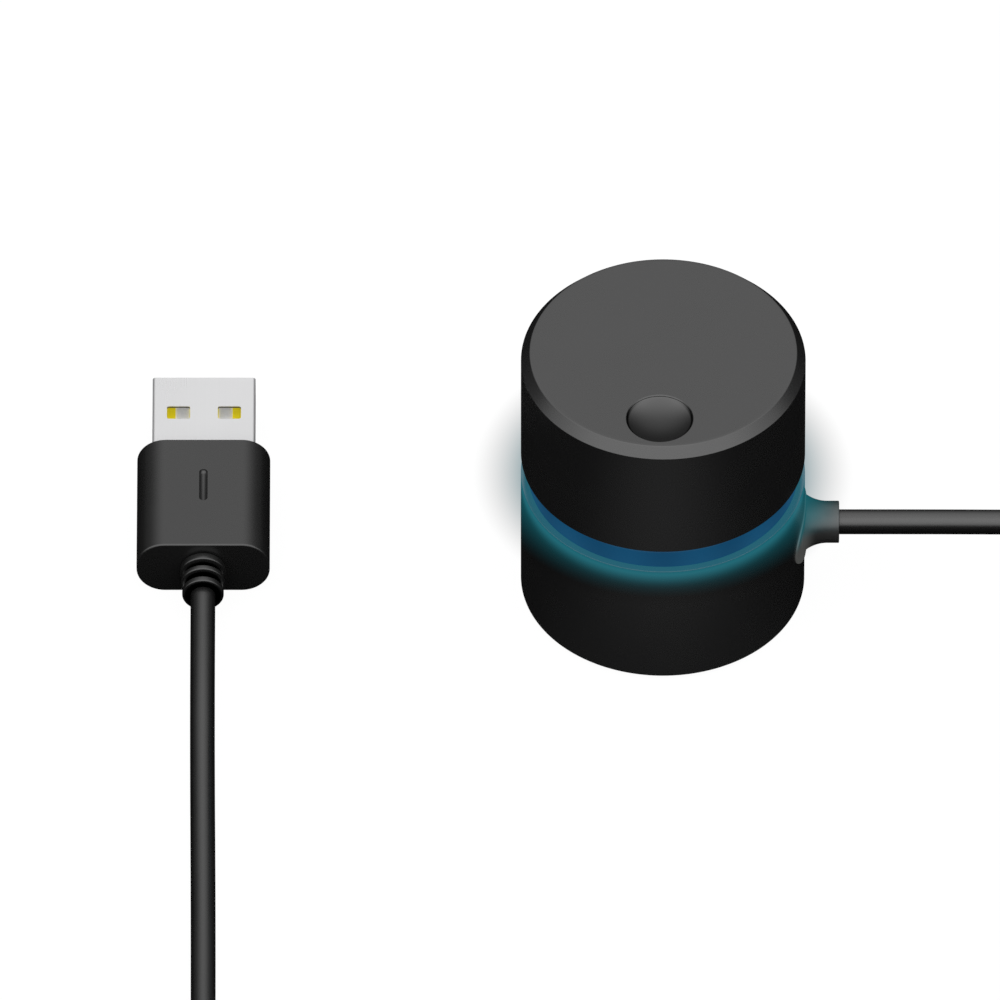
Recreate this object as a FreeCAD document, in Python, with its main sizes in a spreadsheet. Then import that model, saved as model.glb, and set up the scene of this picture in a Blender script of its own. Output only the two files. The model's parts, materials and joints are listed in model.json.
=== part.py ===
"""USB volume control knob: a round desk control on a weighted base, with its cord and plug.

The knob turns without end on a rotary encoder and can be pressed to click a snap dome.
Millimetres, +Z up.  The origin is the centre of the foot's lower face, on the desk.  The cord
leaves towards +X, is put away in a tied coil and ends in a plug that lies on the desk with its
tip towards +Y.
"""

import FreeCAD, Part
import math
import os
import re

import Sketcher
from FreeCAD import Placement, Rotation, Vector

# ---------------------------------------------------------------------------------------------
# Driving dimensions, in millimetres or degrees.  Each one becomes a named cell of the sheet.
# ---------------------------------------------------------------------------------------------
SIZES = {
    # outer body
    "body_r": 16.5,             # outside radius of the base and of the knob
    "foot_proud": 0.4,          # the rubber foot stands below the shell by this much
    "shell_height": 17.2,
    "gap_height": 3.0,          # lit gap between the base and the knob
    "knob_height": 16.4,
    "edge_break": 0.25,         # small chamfer on the outer lower edges
    "cut_spare": 1.0,           # a cutting outline reaches this far past what it cuts
    # knob cap
    "cap_wall": 1.6,
    "cap_roof": 3.5,
    "rim_in": 1.0,              # chamfer round the top face, measured inwards
    "rim_drop": 1.2,            # and downwards
    "dimple_r": 3.9,
    "dimple_offset": 11.0,      # from the knob's axis, towards the front
    "dimple_across": -0.35,
    "dimple_step": 0.2,
    "dimple_sag": 1.1,
    "dimple_rim": 0.12,
    # hub, the plastic insert that grips the shaft
    "hub_disc": 1.6,
    "hub_disc_gap": 0.3,
    "hub_boss_wall": 1.95,
    "hub_boss_spare": 1.1,      # left between the boss and the bushing when the knob is pressed
    "hub_cover": 0.7,           # plastic left over the end of the boss's bore
    "hub_screw_ring": 10.5,
    "hub_screw_length": 3.3,
    # small screws, M1.6
    "small_shank_r": 0.75,
    "small_head_r": 1.5,
    "small_head": 0.8,
    "screw_gap": 0.05,          # radial room round a screw's shank
    "hole_spare": 0.5,          # a blind hole is this much deeper than its screw
    "driver_r": 0.55,           # recess in a screw's head
    "driver_depth": 0.4,
    "head_bevel": 0.2,
    "head_sink": 0.1,           # a cover screw's head lies this far inside its recess
    "head_room": 0.15,          # radial room round that head
    # encoder
    "shaft_r": 3.0,
    "shaft_top_gap": 0.2,       # between the shaft's top and the end of the hub's bore
    "shaft_flat": 1.5,          # depth of the D flat
    "shaft_flat_lead": 0.6,     # from the boss's lower end up to the start of the flat
    "shaft_collar_step": 0.6,
    "shaft_collar": 0.4,
    "foot_r": 2.2,              # double-D foot that slides in the rotor
    "foot_flats": 3.0,
    "run_gap": 0.05,            # radial clearance of a shaft or slide that moves in a hole
    "slide_gap": 0.1,           # room between flat faces that turn or slide past each other
    "rest_gap": 0.02,           # between the shaft's foot and the dome it rests on
    "press_travel": 0.5,
    "bushing_wall": 0.45,
    "bushing_height": 4.8,      # above the chassis plate's lower face
    "flange_side": 0.1,         # the flange stands out past the case by this much
    "flange_thick": 1.0,
    "case_wall": 0.9,
    "case_height": 5.5,
    "case_floor": 0.4,
    "rotor_spare": 0.2,         # left under the shaft's collar when the knob is pressed
    "rotor_hub_r": 3.0,
    "rotor_hub": 0.6,
    "detent_count": 20,
    "detent_r": 0.3,
    "detent_lift": 0.1,         # a notch's centre lies this far above the rotor's face
    "spring_thick": 0.2,
    "spring_clear": 0.4,        # room between the shaft's collar and the spring
    "spring_wide": 0.9,
    "spring_finger_r": 0.35,
    "dome_side": 0.2,
    "dome_height": 1.0,
    "dome_sheet": 0.15,
    "washer_r": 5.5,
    "washer_thick": 0.5,
    "nut_across": 10.0,
    "nut_thick": 2.0,
    "thread_gap": 0.05,
    "pin_wide": 0.8,
    "pin_thick": 0.3,
    "pin_pitch": 2.5,
    "pin_up": 1.9,
    "pin_down": 1.2,
    "pin_gap": 0.1,
    # chassis, the inner frame that everything is screwed to
    "plate_thick": 1.6,
    "plate_lip_overlap": 0.8,   # the raised edge reaches this far up inside the knob
    "plate_lip_wall": 1.2,
    "leg_inset": 0.2,           # room between a leg and the light ring's skirt
    "leg_r": 1.9,
    "post_r": 1.6,
    "leg_gap": 0.1,             # room round a leg where it passes a board or the weight
    "leg_screw_r": 0.95,
    "leg_screw_head_r": 1.85,
    "leg_screw_head": 0.8,
    "leg_screw_length": 6.0,
    # light ring
    "ring_inset": 0.9,          # from the body's surface in to the lit band
    "ring_wall": 1.35,
    "ring_gap": 0.05,
    "ring_top_gap": 0.2,        # left over the ring when the knob is pressed
    "ring_seat": 2.5,           # depth of its seat below the shell's top
    "skirt_gap": 0.1,
    "skirt_wall": 1.2,
    "led_gap": 0.3,             # between the lamps and the skirt over them
    # board
    "board_gap": 0.3,
    "board_thick": 1.2,
    "board_notch_gap": 0.7,     # room round the relief's inner flange, inwards
    "board_notch_side": 0.5,    # and at each side
    "board_screw_length": 4.6,
    "led_inset": 0.8,           # from the board's edge to the lamps' centres
    "led_wide": 2.0,
    "led_deep": 1.25,
    "led_tall": 0.8,
    "led_count": 10,
    "led_first": 45.0,
    "led_span": 270.0,
    "chip_long": 4.9,
    "chip_wide": 3.9,
    "chip_tall": 1.45,
    "chip_x": -6.0,
    "lead_pitch": 1.27,
    "lead_reach": 1.0,
    "lead_wide": 0.4,
    "lead_thick": 0.2,
    "socket_x": -1.0,
    "socket_long": 4.5,
    "socket_wide": 7.2,
    "socket_tall": 3.4,
    "socket_wall": 0.6,
    "housing_out": 2.0,         # the plug-in housing stands out of the socket by this much
    "housing_gap": 0.1,
    "wire_r": 0.38,
    "wire_drop": 0.5,           # the wires leave the relief this far below the cord's axis
    "wire_pitch": 1.25,
    "wire_pitch_relief": 0.85,
    # base
    "shell_wall": 2.9,
    "cover_rim": 1.55,          # from the body's surface in to the cover
    "cover_gap": 0.05,
    "cover_thick": 1.5,
    "cover_recess": 0.5,        # from the shell's lower edge up to the cover
    "pad_inset": 0.35,
    "pad_groove": 0.3,          # depth and half width of a ring moulded into the pad
    "weight_side": 0.6,
    "weight_gap": 0.3,          # between the weight and the socket above it
    # strain relief in the shell's wall
    "exit_drop": 0.4,           # from the board's lower face down to the cord's axis
    "neck_r": 2.6,
    "neck_gap": 0.05,
    "saddle_r": 5.55,           # reach of the flare round the body, each side of the cord
    "saddle_edge": 0.2,         # the flare is this thick at its widest points
    "collar_wall": 1.0,
    "collar_out": 4.0,          # from the body's surface to the collar's end
    "inner_flange_wide": 7.8,
    "inner_flange_tall": 5.0,
    "inner_flange_thick": 1.6,
    "wire_gap": 0.12,           # the wires' square ends stop short of the flange's curved face
    # cord
    "cord_d": 2.9,
    "coil_x": 19.0,
    "coil_y": -107.0,
    "coil_in": 12.55,
    "coil_out": 21.45,
    "coil_height": 11.75,
    "coil_round": 1.4,
    "tie_wide": 8.0,
    "tie_thick": 0.7,
    "tie_slack": 0.7,           # the band clears the coil's inner curve by this much
    "tie_gap": 0.1,
    # plug
    "plug_x": -53.45,
    "plug_rear": -1.8,
    "grip_wide": 15.5,
    "grip_thick": 7.5,
    "grip_long": 17.6,
    "grip_round": 3.4,
    "grip_edge": 0.35,
    "boot_long": 4.3,
    "boot_wall": 0.45,
    "boot_rib": 0.63,
    "boot_ring_wide": 0.9,
    "boot_lead": 0.4,           # smooth length before the first rib
    "boot_bevel": 0.2,
    "boot_root": 0.5,           # the boot runs into the grip by this much
    "boot_taper": 0.1,
    "tip_wide": 12.0,
    "tip_thick": 4.5,
    "tip_long": 11.75,
    "tip_wall": 0.3,
    "tip_round": 0.6,
    "tip_inside": 6.6,          # length of the shell that is moulded into the grip
    "window_x": 2.97,
    "window_wide": 2.7,
    "window_long": 2.1,
    "window_back": 4.75,        # from the shell's tip to the window
    "tongue_back": 0.7,
    "tongue_block": 2.0,
    "contact_wide": 1.0,
    "contact_thick": 0.2,
    "contact_outer": 3.83,
    "contact_inner": 1.2,
    "contact_back": 1.2,
    "contact_step": 1.0,
}

# Places worked out from the driving dimensions.  A name stands for its formula in brackets.
DERIVED = {
    # radii
    "cavity_r": "body_r - cap_wall",
    "shell_bore": "body_r - shell_wall",
    "cover_r": "body_r - cover_rim",
    "pad_r": "cover_r - pad_inset",
    "weight_r": "shell_bore - weight_side",
    "ring_r": "body_r - ring_inset",
    "plate_r": "ring_r - ring_wall - ring_gap",
    "skirt_out": "shell_bore - skirt_gap",
    "skirt_in": "skirt_out - skirt_wall",
    "leg_ring": "skirt_in - leg_inset - leg_r",
    "board_r": "shell_bore - board_gap",
    "led_ring": "board_r - led_inset",
    "shaft_collar_r": "shaft_r + shaft_collar_step",
    "spring_in": "shaft_collar_r + spring_clear",
    "rotor_r": "spring_in + spring_wide",
    "dome_r": "rotor_hub_r - dome_side",
    "bushing_r": "shaft_r + run_gap + bushing_wall",
    "hub_boss_r": "shaft_r + run_gap + hub_boss_wall",
    "small_hole_r": "small_shank_r + screw_gap",
    "cord_r": "cord_d / 2",
    "collar_r": "cord_r + collar_wall",
    "flare_r": "saddle_r - collar_r",
    "saddle_root": "sqrt(body_r * body_r - saddle_r * saddle_r) + saddle_edge",
    "boot_core": "cord_r + boot_wall",
    "boot_ring_r": "boot_core + boot_rib",
    # widths
    "case_width": "2 * (rotor_r + 2 * run_gap + case_wall)",
    "flange_width": "case_width + 2 * flange_side",
    "board_notch_in": "shell_bore - inner_flange_thick - board_notch_gap",
    "board_notch_wide": "inner_flange_wide + 2 * board_notch_side",
    # heights
    "shell_foot": "foot_proud",
    "shell_top": "foot_proud + shell_height",
    "knob_foot": "shell_top + gap_height",
    "knob_top": "knob_foot + knob_height",
    "cap_ceiling": "knob_top - cap_roof",
    "hub_foot": "cap_ceiling - hub_disc",
    "bushing_top": "shell_top + bushing_height",
    "boss_foot": "bushing_top + press_travel + hub_boss_spare",
    "shaft_top": "cap_ceiling - hub_cover - shaft_top_gap",
    "shaft_flat_foot": "boss_foot + shaft_flat_lead",
    "ring_foot": "shell_top - ring_seat",
    "ring_top": "knob_foot - press_travel - ring_top_gap",
    "skirt_foot": "board_top + led_tall + led_gap",
    "cover_foot": "shell_foot + cover_recess",
    "cover_top": "cover_foot + cover_thick",
    "flange_foot": "shell_top - flange_thick",
    "case_foot": "flange_foot - case_height",
    "board_top": "case_foot",
    "board_foot": "board_top - board_thick",
    "collar_top": "flange_foot - slide_gap",
    "rotor_top": "collar_top - shaft_collar - press_travel - rotor_spare",
    "rotor_foot": "dome_top + slide_gap + rotor_hub",
    "rotor_well": "rotor_foot - slide_gap",
    "dome_foot": "case_foot + case_floor",
    "dome_top": "dome_foot + dome_height",
    "shaft_foot": "dome_top + rest_gap",
    "lip_top": "knob_foot + plate_lip_overlap",
    "weight_top": "board_foot - socket_tall - weight_gap",
    "exit_z": "board_foot - exit_drop",
    "plug_axis": "grip_thick / 2",
    # lengths
    "collar_end": "body_r + collar_out",
    "tip_end": "grip_long + tip_long",
    "tip_rear": "grip_long - tip_inside",
}

LEG_ANGLES = (90.0, 3)       # first angle and count of the legs
POST_ANGLES = (30.0, 3)      # first angle and count of the posts between them
PAD_RINGS = (0.45, 0.65, 0.85)   # the foot pad's rings, as shares of its radius
LEAD_STEPS = (-1.5, -0.5, 0.5, 1.5)   # the chip's leads along each side, in pitches
SMALLEST_CUT = 1e-4          # a pocket that removes less than this, in mm3, has failed

# The cord's route, chosen by hand: each point is a corner that the tube rounds off.
KNOB_RUN = [
    (20.5, 0.0, 9.5),
    (31.0, 0.0, 9.5),
    (42.5, -0.1, 9.4),
    (53.0, -4.2, 7.0),
    (59.5, -14.5, 3.9),
    (61.8, -29.0, 1.5),
    (60.3, -48.0, 1.5),
    (55.5, -70.5, 1.5),
    (47.4, -94.2, 1.5),
    (36.93, -115.75, 1.5),
]
PLUG_RUN = [
    (19.0, -126.95, 10.26),
    (4.0, -127.3, 9.8),
    (-11.0, -127.0, 7.0),
    (-27.0, -124.5, 3.2),
    (-41.0, -117.0, 1.5),
    (-50.0, -103.5, 1.5),
    (-53.45, -86.0, 1.5),
    (-53.45, -56.0, 1.5),
    (-53.45, -34.0, 2.3),
    (-53.45, -18.5, 3.75),
    (-53.45, -6.1, 3.75),
]
ARC_SHARE = 0.45             # an arc takes up to this share of the shorter run beside it

DOC = FreeCAD.newDocument("usb_volume_knob")
CUTS = []                    # pockets and grooves, whose volumes are compared at the end
NODES = []                   # the finished sub-parts


# ---------------------------------------------------------------------------------------------
# Sheet and formulas
# ---------------------------------------------------------------------------------------------
def make_sheet():
    """Put every driving dimension into a cell that is named after it."""
    sheet = DOC.addObject("Spreadsheet::Sheet", "Sizes")
    for row, (alias, number) in enumerate(SIZES.items(), start=1):
        sheet.set(f"A{row}", str(number))
        sheet.setAlias(f"A{row}", alias)
    DOC.recompute()
    return sheet


SHEET = make_sheet()


def formula(text):
    """Write a formula's names out as cells of the sheet."""
    def cell(match):
        name = match.group(0)
        if name in DERIVED:
            return f"({formula(DERIVED[name])})"
        return f"Sizes.{name}" if name in SIZES else name
    return re.sub(r"[a-z_]+", cell, text)


def value(text):
    """The number that a formula gives."""
    return float(SHEET.evalExpression(formula(text)))


def bind(thing, setting, text):
    """Tie a setting of an object to the sheet."""
    thing.setExpression(setting, formula(text))


def place(thing, x="0", y="0", z="0"):
    """Tie an object's position to the sheet."""
    for axis, text in zip("xyz", (x, y, z)):
        bind(thing, f"Placement.Base.{axis}", text)


def node(thing, label):
    """Name a finished sub-part."""
    thing.Label = label
    NODES.append(thing)
    return thing


# ---------------------------------------------------------------------------------------------
# Sketches and Part Design features
# ---------------------------------------------------------------------------------------------
def new_body(label):
    """A Part Design body, which may hold several separate solids."""
    body = DOC.addObject("PartDesign::Body", f"{label}_body")
    body.AllowCompound = True
    return node(body, label)


def origin_part(body, role):
    """One of a body's own origin planes or axes."""
    return next(part for part in body.Origin.OriginFeatures if part.Role == role)


def new_sketch(body, name, plane, shift=("0", "0", "0")):
    """An empty sketch on one of the body's origin planes, moved by three formulas."""
    if body is None:
        sketch = DOC.addObject("Sketcher::SketchObject", name)
    else:
        sketch = body.newObject("Sketcher::SketchObject", name)
        sketch.AttachmentSupport = [(origin_part(body, plane), "")]
        sketch.MapMode = "FlatFace"
    for axis, text in zip("xyz", shift):
        bind(sketch, f"AttachmentOffset.Base.{axis}", text)
    return sketch


def pin_point(sketch, geometry, vertex, x, y):
    """Hold one point of a sketch at two formulas from the sketch's origin."""
    for kind, text in (("DistanceX", x), ("DistanceY", y)):
        number = sketch.addConstraint(
            Sketcher.Constraint(kind, -1, 1, geometry, vertex, value(text)))
        sketch.setExpression(f"Constraints[{number}]", formula(text))


def arc_between(start, end, radius, side):
    """The shorter arc from start to end, with its centre on the left or the right."""
    chord = end - start
    middle = (start + end) / 2
    normal = Vector(-chord.y, chord.x, 0) / chord.Length
    reach = math.sqrt(radius ** 2 - (chord.Length / 2) ** 2)
    centre = middle + normal * (reach if side == "left" else -reach)
    first, last = (start, end) if side == "left" else (end, start)
    angles = [math.atan2(point.y - centre.y, point.x - centre.x) for point in (first, last)]
    return Part.ArcOfCircle(Part.Circle(centre, Vector(0, 0, 1), radius), *angles)


def add_loop(sketch, corners):
    """Add a closed outline.  A corner is (x, y), or (x, y, radius, side) before an arc."""
    spots = [Vector(value(corner[0]), value(corner[1]), 0) for corner in corners]
    ends = []
    for index, corner in enumerate(corners):
        start, end = spots[index], spots[(index + 1) % len(spots)]
        if len(corner) == 2:
            number = sketch.addGeometry(Part.LineSegment(start, end), False)
            ends.append((number, 1, 2))
            continue
        number = sketch.addGeometry(arc_between(start, end, value(corner[2]), corner[3]), False)
        ends.append((number, 1, 2) if corner[3] == "left" else (number, 2, 1))
        held = sketch.addConstraint(Sketcher.Constraint("Radius", number, value(corner[2])))
        sketch.setExpression(f"Constraints[{held}]", formula(corner[2]))
    for index, (number, first, last) in enumerate(ends):
        after, after_first, _ = ends[(index + 1) % len(ends)]
        sketch.addConstraint(Sketcher.Constraint("Coincident", number, last, after, after_first))
        pin_point(sketch, number, first, *corners[index][:2])


def add_circle(sketch, x, y, radius):
    """Add a circle at two formulas."""
    centre = Vector(value(x), value(y), 0)
    number = sketch.addGeometry(Part.Circle(centre, Vector(0, 0, 1), value(radius)), False)
    pin_point(sketch, number, 3, x, y)
    held = sketch.addConstraint(Sketcher.Constraint("Radius", number, value(radius)))
    sketch.setExpression(f"Constraints[{held}]", formula(radius))


def rectangle(x_low, y_low, x_high, y_high):
    """The corners of a rectangle, as formulas."""
    return [(x_low, y_low), (x_high, y_low), (x_high, y_high), (x_low, y_high)]


def feature(body, kind, name, sketch, **settings):
    """A sketch-based feature with plain settings."""
    made = body.newObject(f"PartDesign::{kind}", name)
    made.Profile = sketch
    for setting, content in settings.items():
        setattr(made, setting, content)
    sketch.Visibility = False
    if kind in ("Pocket", "Groove"):
        CUTS.append(made)
    return made


def turn(body, name, corners, plane="XZ_Plane", axis="V_Axis", shift=("0", "0", "0"),
         kind="Revolution"):
    """Turn an outline once round an axis of its sketch; a Groove cuts instead."""
    sketch = new_sketch(body, f"{name}_outline", plane, shift)
    add_loop(sketch, corners)
    return feature(body, kind, name, sketch, ReferenceAxis=(sketch, [axis]), Angle=360)


def extrude(body, name, length, loops=(), circles=(), plane="XY_Plane",
            shift=("0", "0", "0"), kind="Pad", reverse=False):
    """Pad or pocket loops and circles by a formula's length."""
    sketch = new_sketch(body, f"{name}_outline", plane, shift)
    for loop in loops:
        add_loop(sketch, loop)
    for circle in circles:
        add_circle(sketch, *circle)
    made = feature(body, kind, name, sketch, Reversed=reverse)
    bind(made, "Length", length)
    return made


def repeat_round(body, name, originals, count, span=360.0):
    """Repeat features round the body's Z axis, evenly over a span of degrees."""
    pattern = body.newObject("PartDesign::PolarPattern", name)
    pattern.Originals = originals
    pattern.Axis = (origin_part(body, "Z_Axis"), [""])
    pattern.Angle = span
    pattern.Occurrences = count
    body.Tip = pattern
    return pattern


def round_edges(body, name, base, radius, wanted):
    """Fillet the edges of a feature that a test picks."""
    DOC.recompute()
    picks = [f"Edge{number}" for number, edge in enumerate(base.Shape.Edges, start=1)
             if wanted(edge)]
    fillet = body.newObject("PartDesign::Fillet", name)
    fillet.Base = (base, picks)
    bind(fillet, "Radius", radius)
    body.Tip = fillet
    return fillet


def polar(ring, degrees):
    """Two formulas for a point on a ring."""
    return f"{ring} * cos({degrees})", f"{ring} * sin({degrees})"


# ---------------------------------------------------------------------------------------------
# Part primitives and booleans
# ---------------------------------------------------------------------------------------------
def box(name, low, high):
    """A block between two corners, each of three formulas."""
    block = DOC.addObject("Part::Box", name)
    for setting, bottom, top in zip(("Length", "Width", "Height"), low, high):
        bind(block, setting, f"({top}) - ({bottom})")
    place(block, *low)
    return block


def rod(name, radius, length, foot, along="Z"):
    """A cylinder from a foot point along an axis."""
    cylinder = DOC.addObject("Part::Cylinder", name)
    bind(cylinder, "Radius", radius)
    bind(cylinder, "Height", length)
    if along == "X":
        cylinder.Placement = Placement(Vector(), Rotation(Vector(0, 1, 0), 90))
    place(cylinder, *foot)
    return cylinder


def combine(kind, name, first, second):
    """A Part::Cut or Part::Common of two objects."""
    made = DOC.addObject(f"Part::{kind}", name)
    made.Base = first
    made.Tool = second
    return made


def fuse(name, pieces):
    """A Part::MultiFuse of several objects."""
    made = DOC.addObject("Part::MultiFuse", name)
    made.Shapes = pieces
    return made


# ---------------------------------------------------------------------------------------------
# Tubes along straight runs joined by tangent arcs
# ---------------------------------------------------------------------------------------------
def rounded_path(points, largest=math.inf):
    """A wire along the points with every corner rounded, and the radii of its arcs."""
    spots = [Vector(*point) for point in points]
    edges, radii = [], []
    last = spots[0]
    for before, corner, after in zip(spots, spots[1:], spots[2:]):
        back, ahead = before - corner, after - corner
        half_turn = (math.pi - back.getAngle(ahead)) / 2
        radius = min(ARC_SHARE * min(back.Length, ahead.Length) / math.tan(half_turn), largest)
        reach = radius * math.tan(half_turn)
        start = corner + back.normalize() * reach
        end = corner + ahead.normalize() * reach
        inwards = (back + ahead).normalize()
        middle = corner + inwards * (radius / math.cos(half_turn) - radius)
        edges.append(Part.LineSegment(last, start).toShape())
        edges.append(Part.Arc(start, middle, end).toShape())
        radii.append(radius)
        last = end
    edges.append(Part.LineSegment(last, spots[-1]).toShape())
    return Part.Wire(edges), radii


def tube(label, points, radius, largest=math.inf):
    """A round bar along a rounded path, as a Part::Feature."""
    path, radii = rounded_path(points, largest)
    start = Vector(*points[0])
    heading = Vector(*points[1]) - start
    ring = Part.Wire(Part.Circle(start, heading, radius).toShape())
    solid = path.makePipeShell([ring], True, False)
    made = DOC.addObject("Part::Feature", f"{label}_tube")
    made.Shape = solid
    made.Placement = Placement()
    expected = math.pi * radius ** 2 * path.Length
    print(f"{label}: length {path.Length:.1f}, volume {solid.Volume:.1f} of {expected:.1f}, "
          f"radii {[round(number, 1) for number in radii]}")
    return node(made, label)


# ---------------------------------------------------------------------------------------------
# Knob
# ---------------------------------------------------------------------------------------------
def make_knob_cap():
    """Turned cap with a chamfered rim, a finger dimple and three blind screw holes."""
    body = new_body("knob_cap")
    turn(body, "cap_turned", [
        ("cavity_r", "knob_foot"),
        ("body_r - edge_break", "knob_foot"),
        ("body_r", "knob_foot + edge_break"),
        ("body_r", "knob_top - rim_drop"),
        ("body_r - rim_in", "knob_top"),
        ("0", "knob_top"),
        ("0", "cap_ceiling"),
        ("cavity_r", "cap_ceiling"),
    ])
    turn(body, "cap_dimple", [
        ("0", "knob_top + dimple_step"),
        ("dimple_r + dimple_rim + dimple_step", "knob_top + dimple_step"),
        ("dimple_r", "knob_top - dimple_rim"),
        ("dimple_r", "knob_top - dimple_step",
         "(dimple_r * dimple_r + dimple_sag * dimple_sag) / (2 * dimple_sag)", "right"),
        ("0", "knob_top - dimple_step - dimple_sag"),
    ], shift=("dimple_across", "0", "dimple_offset"), kind="Groove")
    hole = extrude(body, "cap_screw_hole", "hub_screw_length - hub_disc + hole_spare",
                   circles=[("0", "hub_screw_ring", "small_hole_r")],
                   shift=("0", "0", "cap_ceiling"), kind="Pocket", reverse=True)
    repeat_round(body, "cap_screw_holes", [hole], 3)


def make_knob_hub():
    """Plastic insert: a disc under the cap's roof and a boss with a D-shaped bore."""
    body = new_body("knob_hub")
    turn(body, "hub_turned", [
        ("0", "boss_foot"),
        ("hub_boss_r", "boss_foot"),
        ("hub_boss_r", "hub_foot"),
        ("cavity_r - hub_disc_gap", "hub_foot"),
        ("cavity_r - hub_disc_gap", "cap_ceiling"),
        ("0", "cap_ceiling"),
    ])
    bore = "(shaft_r + run_gap)"
    flat = "(shaft_r - shaft_flat + run_gap)"
    half = f"sqrt({bore} * {bore} - {flat} * {flat})"
    extrude(body, "hub_round_bore", "shaft_flat_foot - boss_foot + slide_gap",
            circles=[("0", "0", bore)],
            shift=("0", "0", "boss_foot"), kind="Pocket", reverse=True)
    extrude(body, "hub_d_bore", "shaft_top + shaft_top_gap - boss_foot", loops=[[
        (half, flat),
        (f"-{half}", flat, bore, "left"),
        (f"-{bore}", "0", bore, "left"),
        ("0", f"-{bore}", bore, "left"),
        (bore, "0", bore, "left"),
    ]], shift=("0", "0", "boss_foot"), kind="Pocket", reverse=True)
    hole = extrude(body, "hub_screw_hole", "hub_disc",
                   circles=[("0", "hub_screw_ring", "small_hole_r")],
                   shift=("0", "0", "hub_foot"), kind="Pocket", reverse=True)
    repeat_round(body, "hub_screw_holes", [hole], 3)


def make_screws(label, ring, first, head_top, head_r, head, shank_r, length):
    """Three screws that point upwards from under a face at head_top."""
    body = new_body(label)
    screw = turn(body, f"{label}_turned", [
        ("driver_r", f"{head_top} - {head}"),
        (f"{head_r} - head_bevel", f"{head_top} - {head}"),
        (head_r, f"{head_top} - {head} + head_bevel"),
        (head_r, head_top),
        (shank_r, head_top),
        (shank_r, f"{head_top} + {length} - {shank_r}"),
        ("0", f"{head_top} + {length}"),
        ("0", f"{head_top} - {head} + driver_depth"),
        ("driver_r", f"{head_top} - {head} + driver_depth"),
    ], shift=(ring, "0", "0"))
    repeat_round(body, f"{label}_set", [screw], 3)
    body.Placement = Placement(Vector(), Rotation(Vector(0, 0, 1), first))


def make_encoder_shaft():
    """D-shaft with a retaining collar and a foot with two flats that slides in the rotor."""
    body = new_body("encoder_shaft")
    turn(body, "shaft_turned", [
        ("0", "shaft_foot"),
        ("foot_r", "shaft_foot"),
        ("foot_r", "collar_top - shaft_collar"),
        ("shaft_collar_r", "collar_top - shaft_collar"),
        ("shaft_collar_r", "collar_top"),
        ("shaft_r", "collar_top"),
        ("shaft_r", "shaft_top - edge_break"),
        ("shaft_r - edge_break", "shaft_top"),
        ("0", "shaft_top"),
    ])
    extrude(body, "shaft_flat_cut", "shaft_top - shaft_flat_foot", loops=[rectangle(
        "-shaft_r", "shaft_r - shaft_flat", "shaft_r", "shaft_r + cut_spare")],
        shift=("0", "0", "shaft_top"), kind="Pocket")
    extrude(body, "foot_flats_cut", "collar_top - shaft_collar - shaft_foot", loops=[
        rectangle("-foot_r", "foot_flats / 2", "foot_r", "foot_r + cut_spare"),
        rectangle("-foot_r", "-foot_r - cut_spare", "foot_r", "-foot_flats / 2")],
        shift=("0", "0", "shaft_foot"), kind="Pocket", reverse=True)


# ---------------------------------------------------------------------------------------------
# Encoder
# ---------------------------------------------------------------------------------------------
def make_encoder_rotor():
    """Notched rotor that turns in the case; the shaft's foot slides through it."""
    body = new_body("encoder_rotor")
    turn(body, "rotor_turned", [
        ("0", "rotor_foot - rotor_hub"),
        ("rotor_hub_r", "rotor_foot - rotor_hub"),
        ("rotor_hub_r", "rotor_foot"),
        ("rotor_r", "rotor_foot"),
        ("rotor_r", "rotor_top"),
        ("0", "rotor_top"),
    ])
    bore = "(foot_r + run_gap)"
    flat = "(foot_flats / 2 + run_gap)"
    half = f"sqrt({bore} * {bore} - {flat} * {flat})"
    extrude(body, "rotor_bore", "rotor_top - rotor_foot + rotor_hub", loops=[[
        (half, f"-{flat}", bore, "left"),
        (half, flat),
        (f"-{half}", flat, bore, "left"),
        (f"-{half}", f"-{flat}"),
    ]], shift=("0", "0", "rotor_top"), kind="Pocket")
    notch = extrude(body, "rotor_notch", "rotor_r - spring_in", circles=[
        ("0", "rotor_top + detent_lift", "detent_r")],
        plane="YZ_Plane", shift=("0", "0", "spring_in"), kind="Pocket", reverse=True)
    repeat_round(body, "rotor_notches", [notch], int(SIZES["detent_count"]))


def make_encoder_bushing():
    """Threaded bushing on a square flange."""
    body = new_body("encoder_bushing")
    half = "flange_width / 2"
    extrude(body, "bushing_flange", "flange_thick",
            loops=[rectangle(f"-{half}", f"-{half}", half, half)],
            shift=("0", "0", "flange_foot"))
    extrude(body, "bushing_barrel", "bushing_top - shell_top",
            circles=[("0", "0", "bushing_r")], shift=("0", "0", "shell_top"))
    extrude(body, "bushing_bore", "bushing_top - flange_foot",
            circles=[("0", "0", "shaft_r + run_gap")],
            shift=("0", "0", "bushing_top"), kind="Pocket")


def make_encoder_case():
    """Moulded case: a wide well for the rotor and a narrow one for the snap dome."""
    body = new_body("encoder_case")
    half = "case_width / 2"
    extrude(body, "case_block", "case_height",
            loops=[rectangle(f"-{half}", f"-{half}", half, half)],
            shift=("0", "0", "case_foot"))
    extrude(body, "case_rotor_well", "flange_foot - rotor_well",
            circles=[("0", "0", "rotor_r + 2 * run_gap")],
            shift=("0", "0", "flange_foot"), kind="Pocket")
    extrude(body, "case_dome_well", "rotor_well - dome_foot",
            circles=[("0", "0", "rotor_hub_r + run_gap")],
            shift=("0", "0", "rotor_well"), kind="Pocket")


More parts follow.
